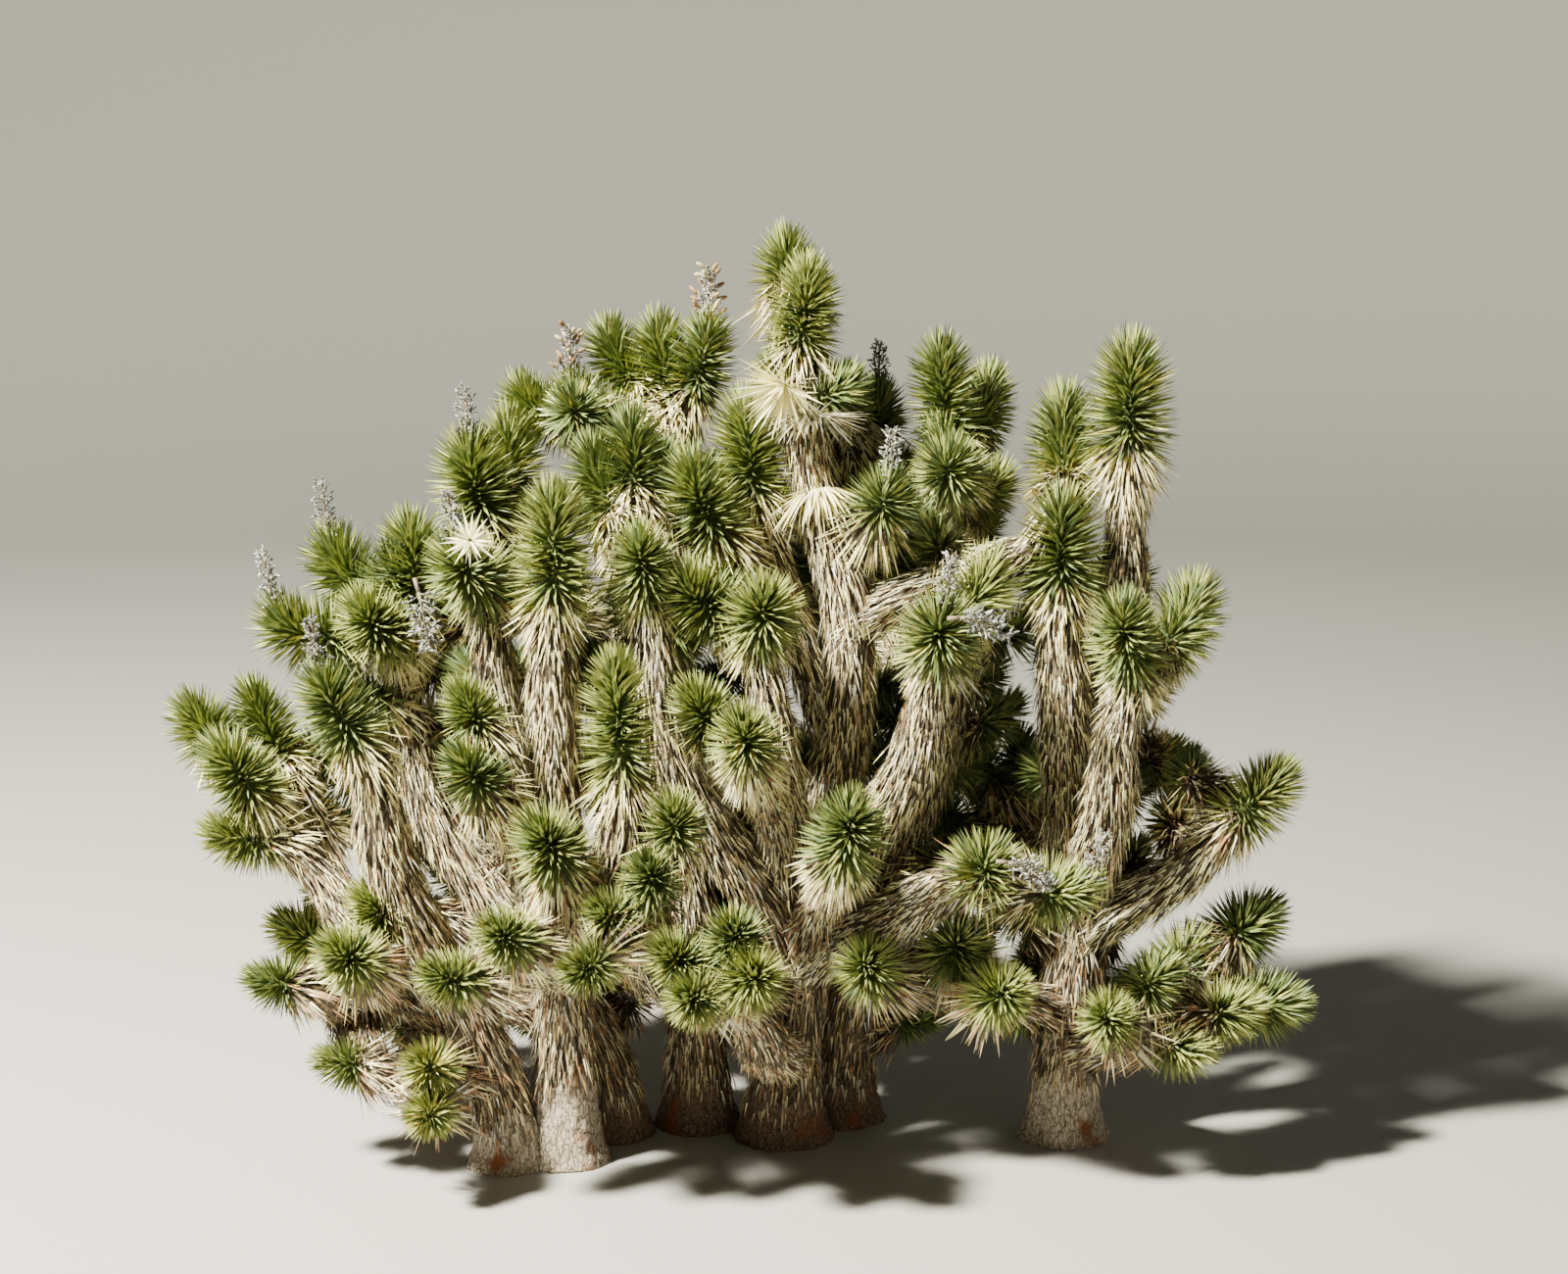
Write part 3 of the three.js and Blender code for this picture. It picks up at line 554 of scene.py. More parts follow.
# The floor's rings as radius and height. Its rim rises into a backdrop on all sides.
FLOOR_RINGS = [(12, 0), (20, 0), (23, 0.4), (25.5, 1.8), (27, 4.5), (27.5, 14)]
FLOOR_SIDES = 72
FLOOR_COLOUR = (0.33, 0.325, 0.315)
FLOOR_DULL = 0.9
FLOOR_GLOSS = 0.5
# Lamps: place, size in metres, power in watts and colour. They face a point above the ground.
LAMPS = {
    "key": ((-10.0, -6.2, 14.9), 1.6, 29500, (1.0, 0.955, 0.79)),
    "fill": ((9.0, -9.0, 5.0), 7.0, 12, (0.86, 0.92, 1.0)),
}
LAMPS_FACE = (0, 0, 1.8)
ROOM_COLOUR = (0.80, 0.88, 1.0)
ROOM_STRENGTH = 0.035


def unit(rows):
    """Rows of numbers made one long."""
    return rows / np.maximum(np.linalg.norm(rows, axis=-1, keepdims=True), 1e-9)


def mix(a, b, share):
    return a + (b - a) * share


def smooth(value, low, high):
    """0 below low, 1 above high and an even rise between."""
    share = np.clip((value - low) / (high - low), 0, 1)
    return share * share * (3 - 2 * share)


def moved(points, ways, far):
    return points + ways * far[:, None]


def swung(first, second, angle):
    """Directions turned from the first towards the second by an angle each."""
    return unit(first * np.cos(angle)[:, None] + second * np.sin(angle)[:, None])


def upper_sides(ways, out):
    """The backs of leaves that run along their ways, as near to out as they can face."""
    return unit(out - ways * (out * ways).sum(1, keepdims=True))


def rolled(rng, ways, out, spread):
    """The backs of leaves, each rolled about its own length by chance."""
    backs = upper_sides(ways, out)
    return swung(backs, np.cross(ways, backs), rng.normal(0, spread, len(ways)))


def turned(rng, ways, backs, turn, roll):
    """Leaves that each turn sideways and roll by chance: their ways and backs."""
    ways = swung(ways, np.cross(ways, backs), rng.normal(0, turn, len(ways)))
    return ways, rolled(rng, ways, backs, roll)


def wound(rng, line, shares, spread):
    """Spots wound up a line by the golden angle, at shares of it: their centres, ways along and ways out.

    spread is how much the angle differs by chance.
    """
    angles = np.arange(len(shares)) * GOLDEN_ANGLE + rng.normal(0, spread, len(shares))
    return line.around(shares, angles)


def rippled(angles, run, far, around, along):
    """Ripples that wind round a column: how far each spot is raised."""
    return far * np.sin(angles * around + run * along)


def times32(a, b):
    return (a * b) & 0xFFFFFFFF


def seeded(seed):
    """The model's own stream of numbers from 0 to 1, so that every head stands where the model has it."""
    state = seed
    while True:
        state = (state + 0x6D2B79F5) & 0xFFFFFFFF
        t = times32(state ^ (state >> 15), state | 1)
        t ^= (t + times32(t ^ (t >> 7), t | 61)) & 0xFFFFFFFF
        yield (t ^ (t >> 14)) / 4294967296


class Line:
    """A limb's curve, measured along its own length."""

    def __init__(self, foot, tip, set_out, arrive):
        pull = np.linalg.norm(tip - foot) * HOLD
        self.points = np.array([foot, foot + set_out * pull, tip - arrive * pull, tip])
        self.fine = np.linspace(0, 1, LINE_SPOTS)
        steps = np.linalg.norm(np.diff(self.place(self.fine), axis=0), axis=1)
        self.run = np.concatenate([[0], np.cumsum(steps)])
        self.length = self.run[-1]
        self.marks = np.linspace(0, 1, SIDE_SPOTS)
        ways = self.along(self.marks)
        sides = [unit(np.cross(ways[0], ASIDE))]
        for way in ways[1:]:
            sides.append(unit(sides[-1] - way * sides[-1].dot(way)))
        self.sides = np.array(sides)

    def place(self, t):
        t = np.atleast_1d(t)[:, None]
        weights = [(1 - t) ** 3, 3 * t * (1 - t) ** 2, 3 * t * t * (1 - t), t**3]
        return sum(weight * point for weight, point in zip(weights, self.points))

    def t_at(self, share):
        return np.interp(np.atleast_1d(share) * self.length, self.run, self.fine)

    def at(self, share):
        return self.place(self.t_at(share))

    def along(self, share):
        t = self.t_at(share)[:, None]
        first, second, third = np.diff(self.points, axis=0)
        return unit((1 - t) ** 2 * first + 2 * t * (1 - t) * second + t * t * third)

    def around(self, share, angle):
        """Centres, directions along and directions out at an angle round the line."""
        along = self.along(share)
        side = np.stack([np.interp(share, self.marks, row) for row in self.sides.T], 1)
        side = unit(side - along * (side * along).sum(1, keepdims=True))
        over = np.cross(along, side)
        out = side * np.cos(angle)[:, None] + over * np.sin(angle)[:, None]
        return self.at(share), along, out

    def rings(self, shares, corners):
        """The share, angle, centre and outward direction of each corner of rings round the line."""
        stations = np.repeat(shares, corners)
        angles = np.tile(np.arange(corners) / corners * 2 * math.pi, len(shares))
        centres, _, out = self.around(stations, angles)
        return stations, angles, centres, out


class Limb:
    """A trunk or bough: its line, its radius counting the thatch, and the tones of its dead leaves."""

    # A limb has no head of green leaves over its bare length, and no skirt.
    bare = 1.0
    skirted = 0
    leaf = 1
    skirt = 1

    def __init__(self, name, line, radius, stem, rooted):
        self.name = name
        self.line = line
        self.ends = radius
        self.stem = stem
        self.rooted = rooted
        self.bark = BARK_HEIGHT.get(name, BARK_ELSEWHERE)
        self.tones = GREY_SHARES if name in BLEACHED else OLD_SHARES
        self.heights = BLEACHED_HEIGHTS if name in BLEACHED else GROUND_HEIGHTS

    def radius(self, share):
        flare = FLARE * np.exp(-share * self.line.length / FLARE_HEIGHT) if self.rooted else 0
        return mix(self.ends[0], self.ends[1], share) * (1 + flare)

    def core(self, share):
        """The radius that the thatch grows on, or the bark's own radius near the ground."""
        bark = 1 - smooth(self.line.at(share)[:, 2], self.bark, self.bark + BARK_FADE)
        bark = bark if self.rooted else 0
        slim = smooth(share, 1 - TIP_SLIMS / self.line.length, 1)
        return self.radius(share) * mix(CORE_SHARE, BARK_SHARE, bark) * mix(1, TIP_SHARE, slim)


class Shoot:
    """An arm of a mass with its head of green leaves. bare is the share of its line below the head."""

    rooted = False
    skirted = 1
    heights = GROUND_HEIGHTS

    def __init__(self, mass, stem, line, stretch, scale, stalk):
        self.mass = mass
        self.stem = stem
        self.line = line
        self.scale = scale
        self.stalk = stalk
        self.leaf = mass.leaf
        self.skirt = mass.skirt
        self.green = stretch * mass.tall + GREEN_BELOW
        self.bare = max(LEAST_BARE, 1 - self.green / line.length)
        # A lesser shoot's thatch takes darker tones, as painted shade inside the crown.
        self.tones = OLD_SHARES if mass.name else LESSER_SHADED_SHARES

    def core(self, share):
        below = SHOOT_RADIUS * SHOOT_CORE_SHARE * mix(1, self.scale, 0.5)
        up = np.clip((share - self.bare) / (1 - self.bare), 0, 1)
        # Above the foot of the head the core draws in fast at first and then evenly.
        return mix(below, CROWN_RADIUS * self.scale, np.sqrt(up) * 0.55 + up * 0.45)


def set_out_from(limb, at, goal):
    """Where a limb or stem sets out from the limb that carries it, a little inside it."""
    share = min(at, 1 - SET_IN / limb.line.length)
    foot = limb.line.at(share)[0]
    along = limb.line.along(share)[0]
    away = unit(goal - foot)
    return foot, unit(mix(along, away, TURN_FROM_TIP if at == 1 else TURN_FROM_SIDE))


def grow_limbs():
    limbs = {}
    for name, (foot, tip, radius) in TRUNKS.items():
        line = Line(np.array(foot), np.array(tip), UP, UP)
        limbs[name] = Limb(name, line, radius, name, True)
    for name, (on, at, tip, radius, rise) in BOUGHS.items():
        tip = np.array(tip)
        foot, set_out = set_out_from(limbs[on], at, tip)
        arrive = unit(mix(unit(tip - foot), UP, rise))
        limbs[name] = Limb(name, Line(foot, tip, set_out, arrive), radius, limbs[on].stem, False)
    return limbs


def facing(place, long):
    """The way a head faces: outward near the ground, and upright at the crown or on a long green column."""
    tilt = GROUND_TILT + TILT_PER_METRE * place[2] + COLUMN_TILT * (long - 1)
    angle = math.radians(min(UPRIGHT, tilt))
    out = unit(place * [1, 1, 0])
    return out * math.cos(angle) + UP * math.sin(angle)


def plan_heads(mass, foot, draw):
    """The scale, green stretch, facing and tip of each head of a mass, by the model's own draws."""
    plans = []
    greens = np.atleast_1d(mass.green)
    for i in range(mass.heads):
        step = 0 if mass.heads == 1 else 2 * i / (mass.heads - 1) - 1
        place = np.array(mass.centre) + np.array(mass.across) * step + (np.array(mass.lift) if i % 2 else 0)
        long = greens[i % len(greens)]
        scale = mass.size * mix(*HEAD_SCALE, next(draw))
        stretch = GREEN * long * scale * mix(*HEAD_STRETCH, next(draw))
        face = unit(mix(facing(place, long), unit(place - foot), HEAD_TURN * next(draw)))
        # The model's fourth draw turns its own leaves, which are laid out anew here.
        next(draw)
        plans.append((scale, stretch, face, place + face * stretch / 2))
    return plans


def grow_shoots(limbs):
    """Every shoot of every mass. The one that reaches furthest leads, and the others fork off it."""
    shoots = []
    for index, mass in enumerate(MASSES):
        carrier = limbs[mass.on]
        foot, set_out = set_out_from(carrier, mass.at, np.array(mass.centre))
        plans = plan_heads(mass, foot, seeded(HEADS_SEED + index))
        reach = [np.linalg.norm(tip - foot) for _, _, _, tip in plans]
        leader = int(np.argmax(reach))
        lead = Line(foot, plans[leader][3], set_out, plans[leader][2])
        for i, (scale, stretch, face, tip) in enumerate(plans):
            line = lead
            if i != leader:
                share = FORK_SHARE * reach[i] / reach[leader]
                fork = lead.at(share)[0]
                leave = unit(mix(lead.along(share)[0], unit(tip - fork), FORK_TURN))
                line = Line(fork, tip, leave, face)
            shoots.append(Shoot(mass, carrier.stem, line, stretch, scale, i < mass.stalks))
    return shoots


class Openness:
    """Coarse pictures of the plant from all round, in which each column fills its cells."""

    def __init__(self, columns):
        self.filled = np.zeros((VIEWS, VIEW_SIZE, VIEW_SIZE), bool)
        for column in columns:
            self.add(self.cells(column.line, 1.0))

    def cells(self, line, size):
        """The cells that a column with a head would fill, each once."""
        spokes = VIEW_SPOKES + 1
        shares = np.repeat(np.linspace(VIEW_FROM, 1, VIEW_STATIONS), spokes)
        angles = np.tile(np.arange(spokes) * 2 * math.pi / VIEW_SPOKES, VIEW_STATIONS)
        centres, _, out = line.around(shares, angles)
        middle = np.arange(len(shares)) % spokes == VIEW_SPOKES
        points = moved(centres, out, np.where(middle, 0, mix(*VIEW_REACH, shares) * size))
        turns = np.arange(VIEWS)[:, None] * 2 * math.pi / VIEWS
        side = points[:, 0] * np.cos(turns) + points[:, 1] * np.sin(turns)
        away = points[:, 1] * np.cos(turns) - points[:, 0] * np.sin(turns)
        high = points[:, 2] + VIEW_TILT * away
        u = ((side + VIEW_LEFT) / VIEW_CELL).astype(int).clip(0, VIEW_SIZE - 1)
        v = ((high + VIEW_BELOW) / VIEW_CELL).astype(int).clip(0, VIEW_SIZE - 1)
        return np.unique((np.arange(VIEWS)[:, None] * VIEW_SIZE + u) * VIEW_SIZE + v)

    def add(self, cells):
        self.filled.ravel()[cells] = True

    def gain(self, cells):
        """How many open cells inside the crown a new column would close. The front picture's weigh more."""
        front = cells < VIEW_SIZE * VIEW_SIZE
        weight = np.where(front, FRONT_WEIGHT, 1)
        return (self.inside.ravel()[cells] * weight).sum()

    def look(self):
        """Marks the open cells that have filled ones to the left, to the right and above."""
        left = np.maximum.accumulate(self.filled, 1)
        right = np.maximum.accumulate(self.filled[:, ::-1], 1)[:, ::-1]
        above = np.maximum.accumulate(self.filled[:, :, ::-1], 2)[:, :, ::-1]
        self.inside = left & right & above & ~self.filled


def chance_place(rng, tips):
    """A chance place in the back of the crown with room for a head, or None."""
    place = np.array(CROWN_MIDDLE) + rng.uniform(-1, 1, 3) * CROWN_HALF
    lowest = LESSER_LOW + BACK_RISE * max(0, place[1] - BACK_FROM)
    if place[2] < lowest or place[1] < LESSER_FRONT:
        return None
    if np.linalg.norm((place - CROWN_MIDDLE) / np.array(CROWN_HALF)) > CROWN_FILL:
        return None
    gaps = np.linalg.norm(np.array(tips) - place, axis=1)
    if gaps.min() < LESSER_ROOM or np.sort(gaps)[1] > LESSER_REACH:
        return None
    return place


class Carriers:
    """Spots along the bare stretches of columns, where a lesser shoot may set out."""

    def __init__(self, columns):
        samples = []
        self.owners = []
        for column in columns:
            spots = max(3, int(column.line.length * column.bare / CARRY_STEP))
            shares = np.linspace(*CARRY_SPAN, spots) * column.bare
            samples.append(column.line.at(shares))
            self.owners += [(column, share) for share in shares]
        self.samples = np.concatenate(samples)

    def shoot_to(self, place, rng, filled):
        """A shoot to a place from the nearest spot below it, or None where it has no way through."""
        far = place - self.samples
        away = np.linalg.norm(far, axis=1)
        climb = mix(*LESSER_CLIMB, smooth(place[2], *CLIMB_HEIGHTS))
        fit = (far[:, 2] > climb * away) & (away > LESSER_LENGTH[0]) & (away < LESSER_LENGTH[1])
        if not fit.any():
            return None
        nearest = np.flatnonzero(fit)[np.argmin(away[fit])]
        column, share = self.owners[nearest]
        foot = self.samples[nearest]
        way = unit(place - foot)
        set_out = unit(mix(column.line.along(share)[0], way, TURN_FROM_SIDE))
        line = Line(foot, place, set_out, unit(mix(facing(place, LESSER_FACED), way, LESSER_TURN)))
        if not filled.free(line.at(np.linspace(CLEAR_FROM, 1, CLEAR_SPOTS)), NO_COLUMN).all():
            return None
        size = rng.uniform(*LESSER_SIZES)
        return Shoot(LESSER, column.stem, line, GREEN * size * rng.uniform(*LESSER_GREENS), size, False)


def grow_lesser_shoots(columns, shoots, filled):
    """Shoots between the named heads, to the places in the shade and to those that best close the crown."""
    rng = np.random.default_rng(LESSER_SEED)
    tips = [shoot.line.at(NEAR_TIP)[0] for shoot in shoots]
    carriers = Carriers(columns)
    openness = Openness(columns)
    made = []
    for place in SHADED_HEADS:
        shoot = carriers.shoot_to(np.array(place), rng, filled)
        made.append(shoot)
        tips.append(place)
        openness.add(openness.cells(shoot.line, shoot.scale))
    for _ in range(LESSER_SHOOTS):
        openness.look()
        best = None
        most = 0
        for _ in range(LESSER_TRIES):
            place = chance_place(rng, tips)
            shoot = None if place is None else carriers.shoot_to(place, rng, filled)
            if shoot is None:
                continue
            cells = openness.cells(shoot.line, shoot.scale)
            gain = openness.gain(cells)
            if gain > most:
                best, most, best_cells = shoot, gain, cells
        if best is None:
            continue
        made.append(best)
        tips.append(best.line.at(1.0)[0])
        openness.add(best_cells)
    return made


class Filled:
    """Marks the cells that each column's core fills."""

    def __init__(self, columns):
        self.owner = np.full(GRID_CELLS, EMPTY, np.int16)
        reach = int(math.ceil(THICKEST / CELL))
        span = slice(-reach, reach + 1)
        self.ball = np.mgrid[span, span, span].reshape(3, -1).T
        self.far = np.linalg.norm(self.ball, axis=1) * CELL
        for column in columns:
            self.add(column)

    def add(self, column):
        shares = np.linspace(0, 1, int(column.line.length / FILL_STEP) + 2)
        for centre, radius in zip(column.line.at(shares), column.core(shares)):
            cells = self.cells(centre)[None] + self.ball[self.far < radius]
            cells = cells[self.owner[tuple(cells.T)] == EMPTY]
            self.owner[tuple(cells.T)] = column.number

    def cells(self, points):
        cells = ((points - np.array(GRID_LOW)) / CELL).astype(int)
        return np.clip(cells, 0, np.array(GRID_CELLS) - 1)

    def free(self, points, number):
        """True for each point that lies in no other column."""
        owner = self.owner[tuple(self.cells(points).T)]
        return (owner == EMPTY) | (owner == number)


class Joined:
    """Gathers the faces of one joined piece: corners, the finish of each face, and a map of the grain."""

    def __init__(self):
        self.parts = []
        self.count = 0

    def add(self, points, corners, sizes, finishes, grain=None):
        grain = np.zeros((len(corners), 2)) if grain is None else grain
        self.parts.append((points, corners + self.count, sizes, finishes, grain))
        self.count += len(points)

    def piece(self, name, materials, slot, nodes, rounded=False):
        """Makes the object, which rides on the one body and stands for its nodes."""
        mesh = bpy.data.meshes.new(name)
        points, corners, sizes, finishes, grain = (np.concatenate(rows) for rows in zip(*self.parts))
        mesh.vertices.add(len(points))
        mesh.vertices.foreach_set("co", points.astype(np.float32).ravel())
        mesh.loops.add(len(corners))
        mesh.loops.foreach_set("vertex_index", corners.astype(np.int32))
        mesh.polygons.add(len(sizes))
        starts = np.concatenate([[0], np.cumsum(sizes)[:-1]])
        mesh.polygons.foreach_set("loop_start", starts.astype(np.int32))
        mesh.polygons.foreach_set("material_index", finishes.astype(np.int32))
        chart = mesh.uv_layers.new(name="grain")
        chart.data.foreach_set("uv", grain.astype(np.float32).ravel())
        for material in materials:
            mesh.materials.append(material)
        mesh.update(calc_edges=True)
        if rounded:
            mesh.shade_smooth()
        made = bpy.data.objects.new(name, mesh)
        bpy.context.collection.objects.link(made)
        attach(made, "root")
        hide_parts(*nodes)


def add_rings(joined, rings, grain, finish):
    """Adds the closed skin through rings of points, given as (stations, corners, 3).

    finish is given for each ring or each point of it, and grain is the length round each ring and up to it.
    """
    stations, around, _ = rings.shape
    index = np.arange(stations * around).reshape(stations, around)
    right = np.roll(index, -1, axis=1)
    quads = np.stack([index[:-1], right[:-1], right[1:], index[1:]], -1).reshape(-1)
    corners = np.concatenate([quads, index[0][::-1], index[-1]])
    sizes = np.concatenate([np.full((stations - 1) * around, 4), [around, around]])
    faces = np.broadcast_to(finish.reshape(stations, -1)[:-1], (stations - 1, around)).reshape(-1)
    finishes = np.concatenate([faces, [faces[0], faces[-1]]])
    u, v = grain
    wide = np.broadcast_to(np.arange(around + 1) / around, (stations, around + 1)) * u[:, None]
    high = np.broadcast_to(v[:, None], (stations, around + 1))
    chart = np.stack([wide, high], -1)
    patches = np.stack([chart[:-1, :-1], chart[:-1, 1:], chart[1:, 1:], chart[1:, :-1]], 2)
    caps = np.zeros((2 * around, 2))
    chart = np.concatenate([patches.reshape(-1, 2), caps])
    joined.add(rings.reshape(-1, 3), corners, sizes, finishes, chart)


def add_copies(joined, rows, faces, finishes):
    """Adds many copies of a small form. rows are its corners, each for all copies, and faces join them."""
    count = len(rows[0])
    order = np.array(sum(faces, []))
    sizes = [len(face) for face in faces]
    offsets = np.arange(count)[:, None] * len(rows)
    corners = (order[None] + offsets).reshape(-1)
    joined.add(np.stack(rows, 1).reshape(-1, 3), corners, np.tile(sizes, count), finishes)


def add_leaves(joined, keep, roots, ways, backs, lengths, widths, curve, fold, stations, finish):
    """Adds the narrow pointed leaves that keep marks. backs are their upper sides, to which they curve.

    A leaf has a keel down its middle where fold is given, and is a plain strip where fold is 0. stations
    are places along it with the width there, and finish has one number a face.
    """
    given = (roots, ways, backs, lengths, widths, curve, finish)
    roots, ways, backs, lengths, widths, curve, finish = (values[keep] for values in given)
    across = np.cross(ways, backs)
    rows = []
    for share, wide in stations:
        middle = moved(moved(roots, ways, lengths * share), backs, lengths * curve * share * share)
        half = across * (widths * wide / 2)[:, None]
        rows.append(middle - half)
        if fold:
            rows.append(middle - backs * (widths * wide * fold)[:, None])
        rows.append(middle + half)
    reach = lengths * (1 - CURVE_SHORTENS * np.abs(curve))
    rows.append(moved(moved(roots, ways, reach), backs, lengths * curve))
    wide = 3 if fold else 2
    faces = []
    for a in range(0, len(rows) - 1, wide):
        for corner in range(a, a + wide - 1):
            last = a + wide == len(rows) - 1
            upper = [len(rows) - 1] if last else [corner + 1 + wide, corner + wide]
            faces.append([corner, corner + 1, *upper])
    add_copies(joined, rows, faces, finish.reshape(-1))


def add_spindles(joined, roots, tips, widths, stations, corners, finish):
    """Adds closed spindles from root to tip. stations are places along them with the width there."""
    ways = unit(tips - roots)
    side = unit(np.cross(ways, SPINDLE_ASIDE))
    over = np.cross(ways, side)
    rows = [roots]
    for share, wide in stations:
        for corner in range(corners):
            angle = corner * 2 * math.pi / corners
            out = side * math.cos(angle) + over * math.sin(angle)
            rows.append(moved(mix(roots, tips, share), out, widths * wide / 2))
    rows.append(tips)
    faces = []
    for corner in range(corners):
        right = (corner + 1) % corners
        faces.append([0, 1 + right, 1 + corner])
        for a in range(1, len(rows) - 1 - corners, corners):
            faces.append([a + corner, a + right, a + right + corners, a + corner + corners])
        a = len(rows) - 1 - corners
        faces.append([a + corner, a + right, len(rows) - 1])
    add_copies(joined, rows, faces, np.repeat(finish, len(faces)))


class Graph:
    """The nodes of a material or of a shared effect. Each call that adds one gives its outputs."""

    def __init__(self, tree):
        self.nodes = tree.nodes
        self.links = tree.links

    def fill(self, socket, value):
        """Links a socket to another node's output, or sets it to a constant."""
        if isinstance(value, bpy.types.NodeSocket):
            self.links.new(value, socket)
        else:
            socket.default_value = value

    def add(self, kind, settings=None, **inputs):
        """A shader node of a kind. An input is given by its name, or by its number as _0 or _1."""
        node = self.nodes.new("ShaderNode" + kind)
        for name, value in (settings or {}).items():
            setattr(node, name, value)
        for name, value in inputs.items():
            self.fill(node.inputs[int(name[1:]) if name[0] == "_" else name.replace("_", " ")], value)
        return node.outputs

    def times(self, first, second):
        return self.add("Math", {"operation": "MULTIPLY"}, _0=first, _1=second)[0]

    def noise(self, place, scale, detail):
        return self.add("TexNoise", Vector=place, Scale=scale, Detail=detail)

    def give(self, **outputs):
        """Ends a shared effect with what it puts out."""
        end = self.nodes.new("NodeGroupOutput")
        for name, value in outputs.items():
            self.links.new(value, end.inputs[name])

    def ramp(self, value, places, tones):
        """A colour ramp through three tones at their places."""
        node = self.nodes.new("ShaderNodeValToRGB")
        stops = node.color_ramp.elements
        stops[0].position = places[0]
        stops[1].position = places[2]
        stops.new(places[1])
        for stop, tone in zip(stops, tones):
            stop.color = (*tone, 1)
        self.links.new(value, node.inputs[0])
        return node.outputs[0]


def shared_effect(name, inputs, outputs):
    """An empty shader group with its sockets: the group, its graph and what is given to it."""
    group = bpy.data.node_groups.new(name, "ShaderNodeTree")
    for socket, value in inputs.items():
        made = group.interface.new_socket(socket, in_out="INPUT", socket_type="NodeSocketFloat")
        made.default_value = value
    for socket in outputs:
        group.interface.new_socket(socket, in_out="OUTPUT", socket_type="NodeSocketFloat")
    graph = Graph(group)
    return group, graph, graph.nodes.new("NodeGroupInput").outputs


def make_leaf_skin():
    """Fine wax and ribs on a leaf: a roughness and a height."""
    inputs = {"Rib Scale": 260.0, "Dull": 0.62, "Shiny": 0.42}
    group, graph, given = shared_effect("leaf_skin", inputs, ("Roughness", "Height"))
    place = graph.add("TexCoord")["Object"]
    wax = graph.noise(place, 35.0, 2.0)[0]
    ribs = graph.noise(place, given["Rib Scale"], 2.0)[0]
    between = dict(From_Min=0.35, From_Max=0.65, To_Min=given["Shiny"], To_Max=given["Dull"])
    level = graph.add("MapRange", Value=wax, **between)[0]
    graph.give(Roughness=level, Height=ribs)
    return group


def make_fibres():
    """Matted fibres that run along a column: a tone, a slow second tone as a mask, and a height."""
    inputs = {"Across": 95.0, "Along": 9.0, "Patch Scale": 2.6}
    group, graph, given = shared_effect("fibres", inputs, ("Tone", "Mask", "Height"))
    split = graph.add("SeparateXYZ", Vector=graph.add("UVMap", {"uv_map": "grain"})[0])
    wide = graph.times(split[0], given["Across"])
    high = graph.times(split[1], given["Along"])
    fibre = graph.noise(graph.add("CombineXYZ", X=wide, Y=high)[0], 1.0, 4.0)[0]
    patches = graph.noise(graph.add("TexCoord")["Object"], given["Patch Scale"], 2.0)[0]
    graph.give(Tone=fibre, Mask=patches, Height=fibre)
    return group


def make_plates():
    """Fissured bark: how far a spot stands out of the cracks, and a mask of red wood."""
    inputs = {"Plate Scale": 52.0, "Stretch": 0.34}
    group, graph, given = shared_effect("bark_plates", inputs, ("Tone", "Mask", "Height"))
    place = graph.add("TexCoord")["Object"]
    split = graph.add("SeparateXYZ", Vector=place)
    drawn = graph.add("CombineXYZ", X=split[0], Y=split[1], Z=graph.times(split[2], given["Stretch"]))[0]
    stir = graph.noise(drawn, 45.0, 3.0)["Color"]
    swirl = graph.add("VectorMath", {"operation": "SCALE"}, Vector=stir, Scale=0.03)[0]
    warped = graph.add("VectorMath", _0=drawn, _1=swirl)[0]
    edges = {"feature": "DISTANCE_TO_EDGE"}
    cells = graph.add("TexVoronoi", edges, Vector=warped, Scale=given["Plate Scale"])[0]
    edge = graph.add("MapRange", Value=cells, From_Max=0.10)[0]
    rough = graph.noise(warped, 130.0, 5.0)[0]
    grain = graph.add("MapRange", Value=rough, From_Min=0.3, From_Max=0.7, To_Min=0.25)[0]
    plate = graph.times(edge, grain)
    red = graph.noise(place, 5.0, 3.0)[0]
    mask = graph.add("MapRange", Value=red, From_Min=0.56, From_Max=0.66)[0]
    graph.give(Tone=plate, Mask=mask, Height=plate)
    return group


def new_finish(name, gloss):
    """A material, its graph and the inputs of its shader."""
    material = bpy.data.materials.new(name)
    material.use_nodes = True
    graph = Graph(material.node_tree)
    shader = graph.nodes["Principled BSDF"].inputs
    shader["Specular IOR Level"].default_value = gloss
    return material, graph, shader


def raise_relief(graph, shader, height, strength, depth):
    relief = graph.add("Bump", Strength=strength, Distance=depth, Height=height)
    graph.links.new(relief[0], shader["Normal"])


def leaf_finishes(colours, skin, dull, shiny, gloss):
    """A finish of each colour, with the waxy skin of a leaf."""
    finishes = []
    for name, colour in colours.items():
        material, graph, shader = new_finish(name, gloss)
        shader["Base Color"].default_value = (*colour, 1)
        face = graph.add("Group", {"node_tree": skin}, Dull=dull, Shiny=shiny)
        graph.links.new(face["Roughness"], shader["Roughness"])
        raise_relief(graph, shader, face["Height"], *LEAF_RELIEF)
        finishes.append(material)
    return finishes


def column_finish(name, effect, tones, places, over, dull, gloss, relief):
    """The skin of a column, matted or barked: three tones by its effect, and one over them by its mask."""
    material, graph, shader = new_finish(name, gloss)
    shader["Roughness"].default_value = dull
    skin = graph.add("Group", {"node_tree": effect})
    tone = graph.ramp(skin["Tone"], places, tones)
    colour = graph.add("Mix", {"data_type": "RGBA"}, _0=skin["Mask"], _6=tone, _7=(*over, 1))
    graph.links.new(colour[2], shader["Base Color"])
    raise_relief(graph, shader, skin["Height"], *relief)
    return material


